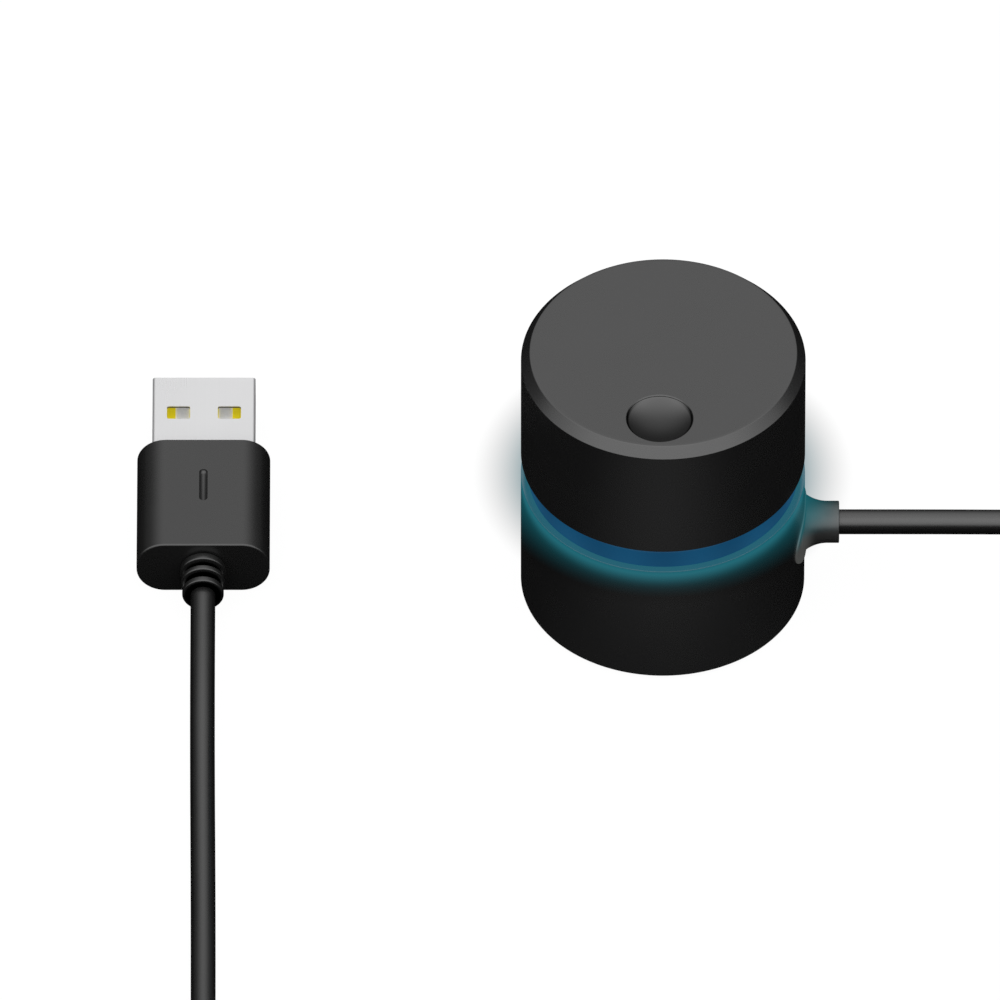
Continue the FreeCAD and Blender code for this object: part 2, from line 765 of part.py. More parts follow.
def make_encoder_pins():
    """Three signal pins on one side of the case and two switch pins on the other."""
    body = new_body("encoder_pins")
    side = "case_width / 2"
    half = "pin_wide / 2"
    loops = []
    for steps, sign in ((-1, "-"), (0, "-"), (1, "-"), (-1, ""), (1, "")):
        near, far = f"{sign}({side})", f"{sign}({side} + pin_thick)"
        low, high = (far, near) if sign else (near, far)
        loops.append(rectangle(f"{steps} * pin_pitch - {half}", low,
                               f"{steps} * pin_pitch + {half}", high))
    extrude(body, "pins", "board_thick + pin_up + pin_down", loops=loops,
            shift=("0", "0", "board_foot - pin_down"))


def make_detent_spring():
    """Flat ring under the flange with two fingers over the rotor's notches."""
    body = new_body("detent_spring")
    turn(body, "spring_ring", [
        ("spring_in", "flange_foot - spring_thick"),
        ("rotor_r", "flange_foot - spring_thick"),
        ("rotor_r", "flange_foot"),
        ("spring_in", "flange_foot"),
    ])
    ring = "((spring_in + rotor_r) / 2)"
    extrude(body, "spring_fingers", "flange_foot - spring_thick - rotor_top - slide_gap", circles=[
        (ring, "0", "spring_finger_r"), (f"-{ring}", "0", "spring_finger_r")],
        shift=("0", "0", "flange_foot - spring_thick"), reverse=True)


def make_switch_dome():
    """Sprung metal dome on the case's floor; it snaps when the shaft comes down."""
    body = new_body("switch_dome")
    outer = "(dome_r * dome_r + dome_height * dome_height) / (2 * dome_height)"
    rise = "(dome_height - dome_sheet)"
    reach = "(dome_r - 2 * dome_sheet)"
    inner = f"({reach} * {reach} + {rise} * {rise}) / (2 * {rise})"
    turn(body, "dome_turned", [
        (reach, "dome_foot"),
        ("dome_r", "dome_foot", outer, "left"),
        ("0", "dome_top"),
        ("0", "dome_top - dome_sheet", inner, "right"),
    ])


def make_encoder_fasteners():
    """Washer and hexagon nut that clamp the bushing to the chassis."""
    body = new_body("encoder_washer")
    seat = "shell_top + plate_thick"
    turn(body, "washer_turned", [
        ("bushing_r + thread_gap", seat),
        ("washer_r", seat),
        ("washer_r", f"{seat} + washer_thick"),
        ("bushing_r + thread_gap", f"{seat} + washer_thick"),
    ])
    prism = DOC.addObject("Part::Prism", "nut_prism")
    prism.Polygon = 6
    bind(prism, "Circumradius", "nut_across / 2 / cos(30)")
    bind(prism, "Height", "nut_thick")
    place(prism, z=f"{seat} + washer_thick")
    hole = rod("nut_hole", "bushing_r + thread_gap", "nut_thick",
               ("0", "0", f"{seat} + washer_thick"))
    node(combine("Cut", "nut_cut", prism, hole), "encoder_nut")


# ---------------------------------------------------------------------------------------------
# Inner frame, light ring and board
# ---------------------------------------------------------------------------------------------
def make_light_ring():
    """Translucent ring: a lit band round the gap and a skirt that stands over the lamps."""
    body = new_body("light_ring")
    band_in = "plate_r + ring_gap"
    turn(body, "ring_turned", [
        ("skirt_in", "skirt_foot"),
        ("skirt_out", "skirt_foot"),
        ("skirt_out", "ring_foot"),
        ("ring_r", "ring_foot"),
        ("ring_r", "ring_top"),
        (band_in, "ring_top"),
        (band_in, "shell_top"),
        ("skirt_in", "shell_top"),
    ])


def make_chassis():
    """Plate with a raised edge, three long legs to the cover and three posts to the board."""
    body = new_body("chassis")
    plate_top = "shell_top + plate_thick"
    turn(body, "plate_turned", [
        ("bushing_r + thread_gap", "shell_top"),
        ("plate_r", "shell_top"),
        ("plate_r", "lip_top"),
        ("plate_r - plate_lip_wall", "lip_top"),
        ("plate_r - plate_lip_wall", plate_top),
        ("bushing_r + thread_gap", plate_top),
    ])
    for name, ring_angle, radius, foot, screw_r, depth in (
            ("leg", LEG_ANGLES, "leg_r", "cover_top", "leg_screw_r + screw_gap",
             "leg_screw_length - (cover_thick - leg_screw_head - head_sink) + hole_spare"),
            ("post", POST_ANGLES, "post_r", "board_top", "small_hole_r",
             "board_screw_length - board_thick + hole_spare")):
        x, y = polar("leg_ring", ring_angle[0])
        pillar = extrude(body, name, f"shell_top - ({foot})", circles=[(x, y, radius)],
                         shift=("0", "0", foot))
        repeat_round(body, f"{name}s", [pillar], ring_angle[1])
        hole = extrude(body, f"{name}_hole", depth, circles=[(x, y, screw_r)],
                       shift=("0", "0", foot), kind="Pocket", reverse=True)
        repeat_round(body, f"{name}_holes", [hole], ring_angle[1])


def make_main_board():
    """Round circuit board, notched where the cord comes in."""
    body = new_body("main_board")
    notch = "board_notch_wide / 2"
    edge = "sqrt(board_r * board_r - board_notch_wide * board_notch_wide / 4)"
    extrude(body, "board_disc", "board_thick", loops=[[
        (edge, notch, "board_r", "left"),
        ("0", "board_r", "board_r", "left"),
        ("-board_r", "0", "board_r", "left"),
        ("0", "-board_r", "board_r", "left"),
        (edge, f"-{notch}"),
        ("board_notch_in", f"-{notch}"),
        ("board_notch_in", notch),
    ]], shift=("0", "0", "board_foot"))
    holes = []
    for (first, count), radius in ((LEG_ANGLES, "leg_r + leg_gap"), (POST_ANGLES, "small_hole_r")):
        for index in range(count):
            holes.append((*polar("leg_ring", first + 360 / count * index), radius))
    side = "(case_width + pin_thick) / 2"
    for steps, sign in ((-1, "-"), (0, "-"), (1, "-"), (-1, ""), (1, "")):
        holes.append((f"{steps} * pin_pitch", f"{sign}({side})", "pin_wide / 2 + pin_gap"))
    extrude(body, "board_holes", "board_thick", circles=holes,
            shift=("0", "0", "board_top"), kind="Pocket")


def make_leds():
    """Small lamps round the board's edge, under the light ring's skirt."""
    body = new_body("leds")
    lamp = extrude(body, "lamp", "led_tall", loops=[rectangle(
        "led_ring - led_deep / 2", "-led_wide / 2", "led_ring + led_deep / 2", "led_wide / 2")],
        shift=("0", "0", "board_top"))
    repeat_round(body, "lamps", [lamp], int(SIZES["led_count"]), SIZES["led_span"])
    body.Placement = Placement(Vector(), Rotation(Vector(0, 0, 1), SIZES["led_first"]))


def make_controller_chip():
    """Controller in a small package with four leads on each side, under the board."""
    body = new_body("controller_chip")
    half_wide, half_long = "chip_wide / 2", "chip_long / 2"
    extrude(body, "chip_body", "chip_tall", loops=[rectangle(
        f"-{half_wide}", f"-{half_long}", half_wide, half_long)], reverse=True)
    for name, low, high in (("leads_left", f"-{half_wide} - lead_reach", f"-{half_wide}"),
                            ("leads_right", half_wide, f"{half_wide} + lead_reach")):
        extrude(body, name, "lead_thick", loops=[
            rectangle(low, f"{step} * lead_pitch - lead_wide / 2",
                      high, f"{step} * lead_pitch + lead_wide / 2")
            for step in LEAD_STEPS], reverse=True)
    place(body, x="chip_x", z="board_foot")


# Small parts under the board: centre x, centre y, length along X, width along Y, height.
BOARD_PARTS = {
    "crystal": (-4.9, -4.6, 3.2, 2.5, 0.8),
    "capacitor_left": (-4.6, 4.8, 1.6, 0.8, 0.8),
    "capacitor_back": (-3.4, 8.0, 1.6, 0.8, 0.8),
    "capacitor_right": (5.2, -5.4, 1.6, 0.8, 0.8),
    "resistor_back": (3.4, 8.0, 1.6, 0.8, 0.45),
    "resistor_right": (5.4, 5.2, 1.6, 0.8, 0.45),
    "resistor_front": (4.4, -8.2, 1.6, 0.8, 0.45),
    "resistor_left": (-4.4, -8.2, 1.6, 0.8, 0.45),
    "bead": (-10.6, 1.2, 0.8, 1.6, 0.8),
}


def make_board_parts():
    """Crystal, capacitors, resistors and a bead."""
    pieces = []
    for name, (x, y, long, wide, tall) in BOARD_PARTS.items():
        pieces.append(box(name, (f"{x} - {long / 2}", f"{y} - {wide / 2}", f"board_foot - {tall}"),
                          (f"{x} + {long / 2}", f"{y} + {wide / 2}", "board_foot")))
    node(fuse("board_part_set", pieces), "board_parts")


def make_cable_socket():
    """Side-entry socket under the board and the housing that plugs into it."""
    mouth = "socket_x + socket_long"
    half = "socket_wide / 2"
    floor = "board_foot - socket_tall"
    outside = box("socket_outside", ("socket_x", f"-{half}", floor), (mouth, half, "board_foot"))
    hollow = box("socket_hollow",
                 ("socket_x + 2 * socket_wall", f"-{half} + socket_wall", f"{floor} + socket_wall"),
                 (mouth, f"{half} - socket_wall", "board_foot - socket_wall"))
    node(combine("Cut", "socket_cut", outside, hollow), "cable_socket")
    inset = "(socket_wall + housing_gap)"
    housing = box("housing_block",
                  ("socket_x + 2 * socket_wall + housing_gap", f"-{half} + {inset}",
                   f"{floor} + {inset}"),
                  (f"{mouth} + housing_out", f"{half} - {inset}", f"board_foot - {inset}"))
    node(housing, "cable_housing")


def make_wires():
    """Four insulated wires from the strain relief to the housing."""
    start_x = value("socket_x + socket_long + housing_out")
    end_x = value("shell_bore - inner_flange_thick - wire_gap")
    low = value("board_foot - socket_tall / 2")
    high = value("exit_z - wire_drop")
    steps = {"wire_red": 1.5, "wire_white": 0.5, "wire_green": -0.5, "wire_black": -1.5}
    for label, step in steps.items():
        near = step * SIZES["wire_pitch"]
        far = step * SIZES["wire_pitch_relief"]
        third = (end_x - start_x) / 3
        tube(label, [(start_x, near, low), (start_x + third, near, low),
                     (end_x - third, far, high), (end_x, far, high)], SIZES["wire_r"])


# ---------------------------------------------------------------------------------------------
# Base
# ---------------------------------------------------------------------------------------------
def make_base_shell():
    """Turned shell with a seat for the light ring, one for the cover and a hole for the cord."""
    body = new_body("base_shell")
    turn(body, "shell_turned", [
        ("cover_r + cover_gap", "shell_foot"),
        ("body_r - edge_break", "shell_foot"),
        ("body_r", "shell_foot + edge_break"),
        ("body_r", "shell_top"),
        ("ring_r + ring_gap", "shell_top"),
        ("ring_r + ring_gap", "ring_foot"),
        ("shell_bore", "ring_foot"),
        ("shell_bore", "cover_top"),
        ("cover_r + cover_gap", "cover_top"),
    ])
    extrude(body, "cord_hole", "body_r", circles=[("0", "exit_z", "neck_r + neck_gap")],
            plane="YZ_Plane", kind="Pocket", reverse=True)


def make_bottom_cover():
    """Round cover with three counterbored holes for the screws into the legs."""
    body = new_body("bottom_cover")
    extrude(body, "cover_disc", "cover_thick", circles=[("0", "0", "cover_r")],
            shift=("0", "0", "cover_foot"))
    x, y = polar("leg_ring", LEG_ANGLES[0])
    through = extrude(body, "cover_hole", "cover_thick",
                      circles=[(x, y, "leg_screw_r + screw_gap")],
                      shift=("0", "0", "cover_foot"), kind="Pocket", reverse=True)
    recess = extrude(body, "cover_recess_cut", "leg_screw_head + head_sink",
                     circles=[(x, y, "leg_screw_head_r + head_room")],
                     shift=("0", "0", "cover_foot"), kind="Pocket", reverse=True)
    repeat_round(body, "cover_holes", [through, recess], LEG_ANGLES[1])


def make_foot_pad():
    """Rubber foot in the shell's lower rebate, with three shallow rings moulded in."""
    body = new_body("foot_pad")
    extrude(body, "pad_disc", "cover_foot", circles=[("0", "0", "pad_r")])
    for number, share in enumerate(PAD_RINGS, start=1):
        centre = f"pad_r * {share}"
        turn(body, f"pad_ring_{number}", [
            (f"{centre} - pad_groove", "0"),
            (f"{centre} + pad_groove", "0"),
            (centre, "pad_groove"),
        ], kind="Groove")


def make_base_weight():
    """Steel disc on the cover, holed for the legs."""
    body = new_body("base_weight")
    circles = [("0", "0", "weight_r")]
    first, count = LEG_ANGLES
    for index in range(count):
        circles.append((*polar("leg_ring", first + 360 / count * index), "leg_r + leg_gap"))
    extrude(body, "weight_disc", "weight_top - cover_top", circles=circles, shift=("0", "0", "cover_top"))


def make_strain_relief():
    """Moulded relief: flared collar outside the shell, neck through it and a flange inside."""
    def core(name, radius):
        return rod(name, radius, "4 * saddle_r", ("0", "0", "exit_z - 2 * saddle_r"))

    sketch = new_sketch(None, "flare_outline", None)
    add_loop(sketch, [
        ("body_r / 2", "0"),
        ("collar_end", "0"),
        ("collar_end", "collar_r"),
        ("saddle_root + flare_r", "collar_r", "flare_r", "right"),
        ("saddle_root", "saddle_r"),
        ("body_r / 2", "saddle_r"),
    ])
    flare = DOC.addObject("Part::Revolution", "flare")
    flare.Source = sketch
    flare.Axis = Vector(1, 0, 0)
    flare.Base = Vector(0, 0, 0)
    flare.Angle = 360
    flare.Solid = True
    place(flare, z="exit_z")
    trimmed = combine("Cut", "flare_trimmed", flare, core("flare_core", "body_r"))
    neck = rod("neck", "neck_r", "body_r - shell_bore + inner_flange_thick / 2",
               ("shell_bore - inner_flange_thick / 2", "0", "exit_z"), along="X")
    half = "inner_flange_wide / 2"
    tall = "inner_flange_tall / 2"
    block = box("inner_flange_block", ("shell_bore / 2", f"-{half}", f"exit_z - {tall}"),
                ("body_r", half, f"exit_z + {tall}"))
    sleeve = combine("Cut", "flange_sleeve", core("flange_outer", "shell_bore"),
                     core("flange_inner", "shell_bore - inner_flange_thick"))
    flange = combine("Common", "inner_flange", block, sleeve)
    node(fuse("relief_moulding", [trimmed, neck, flange]), "strain_relief")


# ---------------------------------------------------------------------------------------------
# Cord, coil and tie
# ---------------------------------------------------------------------------------------------
def make_cord():
    """The two free stretches of the cord and the outer shape of the coil between them."""
    radius = SIZES["cord_d"] / 2
    tube("cord_knob_run", KNOB_RUN, radius)
    tube("cord_plug_run", PLUG_RUN, radius)
    body = new_body("cord_coil")
    ring = turn(body, "coil_ring", rectangle("coil_in", "0", "coil_out", "coil_height"))
    rounded = round_edges(body, "coil_edges", ring, "coil_round", lambda edge: True)
    extrude(body, "coil_notch", "tie_thick", loops=[rectangle(
        "-coil_out - cut_spare", "-tie_wide / 2 - tie_gap", "-coil_in / 2", "tie_wide / 2 + tie_gap")],
        kind="Pocket", reverse=True)
    rounded.Visibility = False
    place(body, x="coil_x", y="coil_y")


def make_cord_tie():
    """Fabric band that holds the coil's turns together, passed once round them."""
    body = new_body("cord_tie")
    inner = "(coil_in - tie_slack)"
    half = "tie_wide / 2"
    block = extrude(body, "tie_block", "tie_wide", loops=[rectangle(
        f"-(coil_out + tie_thick)", "0", f"-({inner} - tie_thick)",
        "coil_height + 2 * tie_thick")], plane="XZ_Plane", shift=("0", "0", f"-{half}"))
    rounded = round_edges(body, "tie_edges", block, "coil_round", lambda edge: (
        abs(edge.tangentAt(edge.FirstParameter).y) > 0.99))
    extrude(body, "tie_hollow", "tie_wide", loops=[rectangle(
        "-coil_out", "tie_thick", f"-{inner}", "coil_height + tie_thick")],
        plane="XZ_Plane", shift=("0", "0", half), kind="Pocket")
    rounded.Visibility = False
    place(body, x="coil_x", y="coil_y")


# ---------------------------------------------------------------------------------------------
# Plug: modelled from its rear face, with its tip towards +Y
# ---------------------------------------------------------------------------------------------
def place_plug(body):
    """Lay a plug piece on the desk."""
    place(body, x="plug_x", y="plug_rear", z="plug_axis")


def make_plug_overmould():
    """Soft grip with a ribbed boot where the cord goes in."""
    body = new_body("plug_overmould")
    wide, thick = "grip_wide / 2", "grip_thick / 2"
    block = extrude(body, "grip_block", "grip_long",
                    loops=[rectangle(f"-{wide}", f"-{thick}", wide, thick)],
                    plane="XZ_Plane", reverse=True)
    sides = round_edges(body, "grip_sides", block, "grip_round", lambda edge: (
        abs(edge.tangentAt(edge.FirstParameter).y) > 0.99))
    rounded = round_edges(body, "grip_ends", sides, "grip_edge", lambda edge: (
        abs(edge.tangentAt(edge.FirstParameter).y) < 0.01))
    rounded.Visibility = False
    corners = [("0", "boot_root"), ("boot_core", "boot_root")]
    for number in range(3):
        start = f"boot_lead + {number} * (boot_long - boot_ring_wide - boot_lead) / 2"
        crest = f"boot_ring_r - {number} * boot_taper"
        corners += [
            ("boot_core", f"-({start})"),
            (crest, f"-({start} + boot_bevel)"),
            (crest, f"-({start} + boot_ring_wide - boot_bevel)"),
            ("boot_core", f"-({start} + boot_ring_wide)"),
        ]
    corners += [("0", "-boot_long")]
    turn(body, "boot", corners, plane="XY_Plane")
    extrude(body, "grip_pocket", "tip_inside", loops=[rectangle(
        "-tip_wide / 2", "-tip_thick / 2", "tip_wide / 2", "tip_thick / 2")],
        plane="XZ_Plane", shift=("0", "0", "-grip_long"), kind="Pocket", reverse=True)
    place_plug(body)


def make_plug_shell():
    """Folded metal shell with two windows above and two below."""
    body = new_body("plug_shell")
    wide, thick = "tip_wide / 2", "tip_thick / 2"
    block = extrude(body, "tip_block", "tip_inside + tip_long",
                    loops=[rectangle(f"-{wide}", f"-{thick}", wide, thick)],
                    plane="XZ_Plane", shift=("0", "0", "-tip_rear"), reverse=True)
    rounded = round_edges(body, "tip_sides", block, "tip_round", lambda edge: (
        abs(edge.tangentAt(edge.FirstParameter).y) > 0.99))
    rounded.Visibility = False
    extrude(body, "tip_hollow", "tip_inside + tip_long", loops=[rectangle(
        f"-{wide} + tip_wall", f"-{thick} + tip_wall", f"{wide} - tip_wall", f"{thick} - tip_wall")],
        plane="XZ_Plane", shift=("0", "0", "-tip_rear"), kind="Pocket")
    far = "tip_end - window_back"
    extrude(body, "tip_windows", "tip_thick", loops=[
        rectangle(f"{side} * window_x - window_wide / 2", f"{far} - window_long",
                  f"{side} * window_x + window_wide / 2", far) for side in (-1, 1)],
        shift=("0", "0", thick), kind="Pocket")
    place_plug(body)


def make_plug_tongue():
    """White insulator with four gold contacts on its upper face."""
    body = new_body("plug_insulator")
    wide, thick = "(tip_wide / 2 - tip_wall)", "(tip_thick / 2 - tip_wall)"
    extrude(body, "tongue", "tip_inside + tip_long - tongue_back",
            loops=[rectangle(f"-{wide}", f"-{thick}", wide, "0")],
            plane="XZ_Plane", shift=("0", "0", "-tip_rear"), reverse=True)
    extrude(body, "tongue_end", "tongue_block",
            loops=[rectangle(f"-{wide}", "0", wide, thick)],
            plane="XZ_Plane", shift=("0", "0", "-tip_rear"), reverse=True)
    place_plug(body)

    body = new_body("plug_contacts")
    half = "contact_wide / 2"
    start = "tip_rear + tongue_block"
    loops = []
    for centre, back in (("-contact_outer", "0"), ("-contact_inner", "contact_step"),
                         ("contact_inner", "contact_step"), ("contact_outer", "0")):
        loops.append(rectangle(f"{centre} - {half}", start, f"{centre} + {half}",
                               f"tip_end - tongue_back - contact_back - {back}"))
    extrude(body, "contacts", "contact_thick", loops=loops)
    place_plug(body)


# ---------------------------------------------------------------------------------------------
# Build, check and write
# ---------------------------------------------------------------------------------------------
def make_all():
    """Make every sub-part, knob first and plug last."""
    make_knob_cap()
    make_knob_hub()
    make_screws("hub_screws", "hub_screw_ring", 90.0, "hub_foot", "small_head_r", "small_head",
                "small_shank_r", "hub_screw_length")
    make_encoder_shaft()
    make_encoder_rotor()
    make_encoder_bushing()
    make_encoder_case()
    make_encoder_pins()
    make_detent_spring()
    make_switch_dome()
    make_encoder_fasteners()
    make_light_ring()
    make_chassis()
    make_main_board()
    make_leds()
    make_controller_chip()
    make_board_parts()
    make_cable_socket()
    make_wires()
    make_screws("board_screws", "leg_ring", POST_ANGLES[0], "board_foot", "small_head_r",
                "small_head", "small_shank_r", "board_screw_length")
    make_base_shell()
    make_bottom_cover()
    make_foot_pad()
    make_base_weight()
    make_screws("cover_screws", "leg_ring", LEG_ANGLES[0], "cover_foot + leg_screw_head + head_sink",
                "leg_screw_head_r", "leg_screw_head", "leg_screw_r", "leg_screw_length")
    make_strain_relief()
    make_cord()
    make_cord_tie()
    make_plug_overmould()
    make_plug_shell()
    make_plug_tongue()


def check_all():
    """Stop if an object failed, a cut removed nothing or a sub-part is not a valid solid."""
    DOC.recompute()
    for thing in DOC.Objects:
        if {"Invalid", "Error"} & set(thing.State):
            raise RuntimeError(f"{thing.Label} failed: {thing.State}")
    for cut in CUTS:
        if cut.BaseFeature.Shape.Volume - cut.Shape.Volume < SMALLEST_CUT:
            raise RuntimeError(f"{cut.Label} removes nothing")
    for part in NODES:
        shape = part.Shape
        if shape.isNull() or not shape.isValid() or not shape.Solids:
            raise RuntimeError(f"{part.Label} is not a valid solid")


def write_all():
    """Write each sub-part to its own file."""
    os.makedirs("parts", exist_ok=True)
    for part in NODES:
        part.Shape.exportStep(f"parts/{part.Label}.step")
        print(f"{part.Label}: {len(part.Shape.Solids)} solid(s), {part.Shape.Volume:.2f} mm3")


make_all()
check_all()
write_all()
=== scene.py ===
"""Studio model of the USB volume knob, dressed round its engineering frame.

Pieces and finishes are drawn in millimetres, and each piece is handed over in metres.  The cord's
route, the camera and the lamps are in metres.  +Z is up and the desk is z = 0.  The cord leaves the
base towards +X, and the front of the knob, with its finger dimple, faces -Y.
"""

from __future__ import annotations

import json
import logging
import math
from dataclasses import dataclass, field
from enum import Enum
from typing import Any, Mapping, Sequence, Union

import bmesh
import bpy
from mathutils import Euler, Matrix, Vector

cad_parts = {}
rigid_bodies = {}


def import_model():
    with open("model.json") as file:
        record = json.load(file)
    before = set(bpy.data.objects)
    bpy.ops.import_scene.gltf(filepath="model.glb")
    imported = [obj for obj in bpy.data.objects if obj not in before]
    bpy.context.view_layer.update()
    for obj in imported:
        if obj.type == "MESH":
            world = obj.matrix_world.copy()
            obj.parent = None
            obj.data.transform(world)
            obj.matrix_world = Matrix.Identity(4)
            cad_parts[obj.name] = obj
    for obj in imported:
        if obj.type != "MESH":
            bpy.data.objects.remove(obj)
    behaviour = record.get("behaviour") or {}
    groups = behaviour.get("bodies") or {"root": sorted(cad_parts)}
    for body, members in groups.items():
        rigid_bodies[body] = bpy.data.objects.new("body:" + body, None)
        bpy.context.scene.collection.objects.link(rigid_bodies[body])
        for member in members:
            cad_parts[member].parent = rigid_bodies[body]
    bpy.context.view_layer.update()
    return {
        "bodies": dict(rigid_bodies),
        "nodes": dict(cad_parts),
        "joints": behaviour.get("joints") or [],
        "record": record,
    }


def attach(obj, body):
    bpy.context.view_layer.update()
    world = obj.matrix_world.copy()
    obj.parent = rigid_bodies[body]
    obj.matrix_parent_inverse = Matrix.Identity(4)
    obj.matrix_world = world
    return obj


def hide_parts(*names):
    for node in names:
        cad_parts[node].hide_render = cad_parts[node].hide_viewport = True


Colour = tuple[float, float, float]
Point = tuple[float, float, float]
Range = tuple[float, float]
Edges = Sequence[bmesh.types.BMEdge]
Value = Union["Signal", bpy.types.NodeSocket, float, Sequence[float]]

LOG = logging.getLogger("volume_knob")
MM = 0.001
TURN_STEPS = 192
CREASE = math.radians(32)
MERGE = 1e-4
ORIGIN: Point = (0.0, 0.0, 0.0)
BLACK: Colour = (0.0, 0.0, 0.0)
WHITE: Colour = (1.0, 1.0, 1.0)

# How many finer octaves a noise has.
SMOOTH, CLOUDY, FINE = 0.0, 2.0, 3.0

WIRES: Mapping[str, Colour] = {
    "red": (0.42, 0.02, 0.015),
    "white": (0.7, 0.7, 0.68),
    "green": (0.02, 0.22, 0.05),
    "black": (0.015, 0.015, 0.015),
}


class Body(Enum):
    """The rigid bodies that new pieces ride on."""

    BASE = "base"
    KNOB = "knob"


class Joinery(Enum):
    """How one solid meets another."""

    CUT = "DIFFERENCE"
    JOIN = "UNION"
    KEEP = "INTERSECT"


class Axis(Enum):
    """A direction that a pattern or a turned shape follows."""

    X = 0
    Y = 1
    Z = 2


def grey(level: float) -> Colour:
    """A colour without a hue."""
    return (level, level, level)


def ease(place: float) -> float:
    """Goes smoothly from 0 to 1 while place does, and stays there on both sides."""
    share = min(max(place, 0.0), 1.0)
    return share * share * (3 - 2 * share)


def new_object(name: str, data: bpy.types.ID) -> bpy.types.Object:
    """Puts new data into the scene.

    Args:
        name: The object's name.
        data: A mesh, curve, camera or lamp.

    Returns:
        The object that holds it.
    """
    thing = bpy.data.objects.new(name, data)
    bpy.context.scene.collection.objects.link(thing)
    return thing


def ends_of(edges: Edges) -> list[bmesh.types.BMVert]:
    """The points at the ends of some edges, each once and in order."""
    return list(dict.fromkeys(vert for edge in edges for vert in edge.verts))


def points_in(made: Sequence[Any]) -> list[bmesh.types.BMVert]:
    """The points among the parts that an operator made."""
    return [part for part in made if isinstance(part, bmesh.types.BMVert)]


# ---- Shader arithmetic ----
class Signal:
    """A shader socket that takes part in Python arithmetic."""

    def __init__(self, shader: Shader, socket: bpy.types.NodeSocket) -> None:
        """Wraps one socket of a shader."""
        self.shader = shader
        self.socket = socket

    def _math(self, operation: str, *values: Value) -> Signal:
        """Adds one Math node.

        Args:
            operation: The Math node's operation.
            values: Its inputs in order.

        Returns:
            The node's result.
        """
        node = self.shader.add("ShaderNodeMath", dict(enumerate(values)), operation=operation)
        return Signal(self.shader, node.outputs[0])

    def __add__(self, other: Value) -> Signal:
        """This signal plus another."""
        return self._math("ADD", self, other)

    __radd__ = __add__

    def __sub__(self, other: Value) -> Signal:
        """This signal minus another."""
        return self._math("SUBTRACT", self, other)

    def __rsub__(self, other: Value) -> Signal:
        """A number minus this signal."""
        return self._math("SUBTRACT", other, self)

    def __mul__(self, other: Value) -> Signal:
        """This signal times another."""
        return self._math("MULTIPLY", self, other)

    __rmul__ = __mul__

    def __truediv__(self, other: Value) -> Signal:
        """This signal divided by another."""
        return self._math("DIVIDE", self, other)

    def __pow__(self, other: Value) -> Signal:
        """This signal raised to a power."""
        return self._math("POWER", self, other)

    def least(self, other: Value) -> Signal:
        """The smaller of this signal and another."""
        return self._math("MINIMUM", self, other)

    def most(self, other: Value) -> Signal:
        """The larger of this signal and another."""
        return self._math("MAXIMUM", self, other)

    def wave(self) -> Signal:
        """The sine of this signal."""
        return self._math("SINE", self)

    def fraction(self) -> Signal:
        """The part of this signal after the decimal point."""
        return self._math("FRACT", self)

    def size(self) -> Signal:
        """This signal without its sign."""
        return self._math("ABSOLUTE", self)

    def away(self, other: Signal) -> Signal:
        """The distance that this signal and one square to it reach together."""
        return self._math("SQRT", self * self + other * other)

    def heading(self, other: Signal) -> Signal:
        """The angle, in radians, whose tangent is this signal over another."""
        return self._math("ARCTAN2", self, other)

    def swing(self, amount: float) -> Signal:
        """How far this signal is from 0.5, times an amount."""
        return amount * (self - 0.5)

    def rise(self, low: float, high: float) -> Signal:
        """Goes smoothly from 0 to 1 while this signal goes from low to high.

        Args:
            low: Where the rise starts.
            high: Where it ends.

        Returns:
            The eased signal.
        """
        node = self.shader.add(
            "ShaderNodeMapRange", {"Value": self, "From Min": low, "From Max": high},
            interpolation_type="SMOOTHSTEP")
        return Signal(self.shader, node.outputs["Result"])


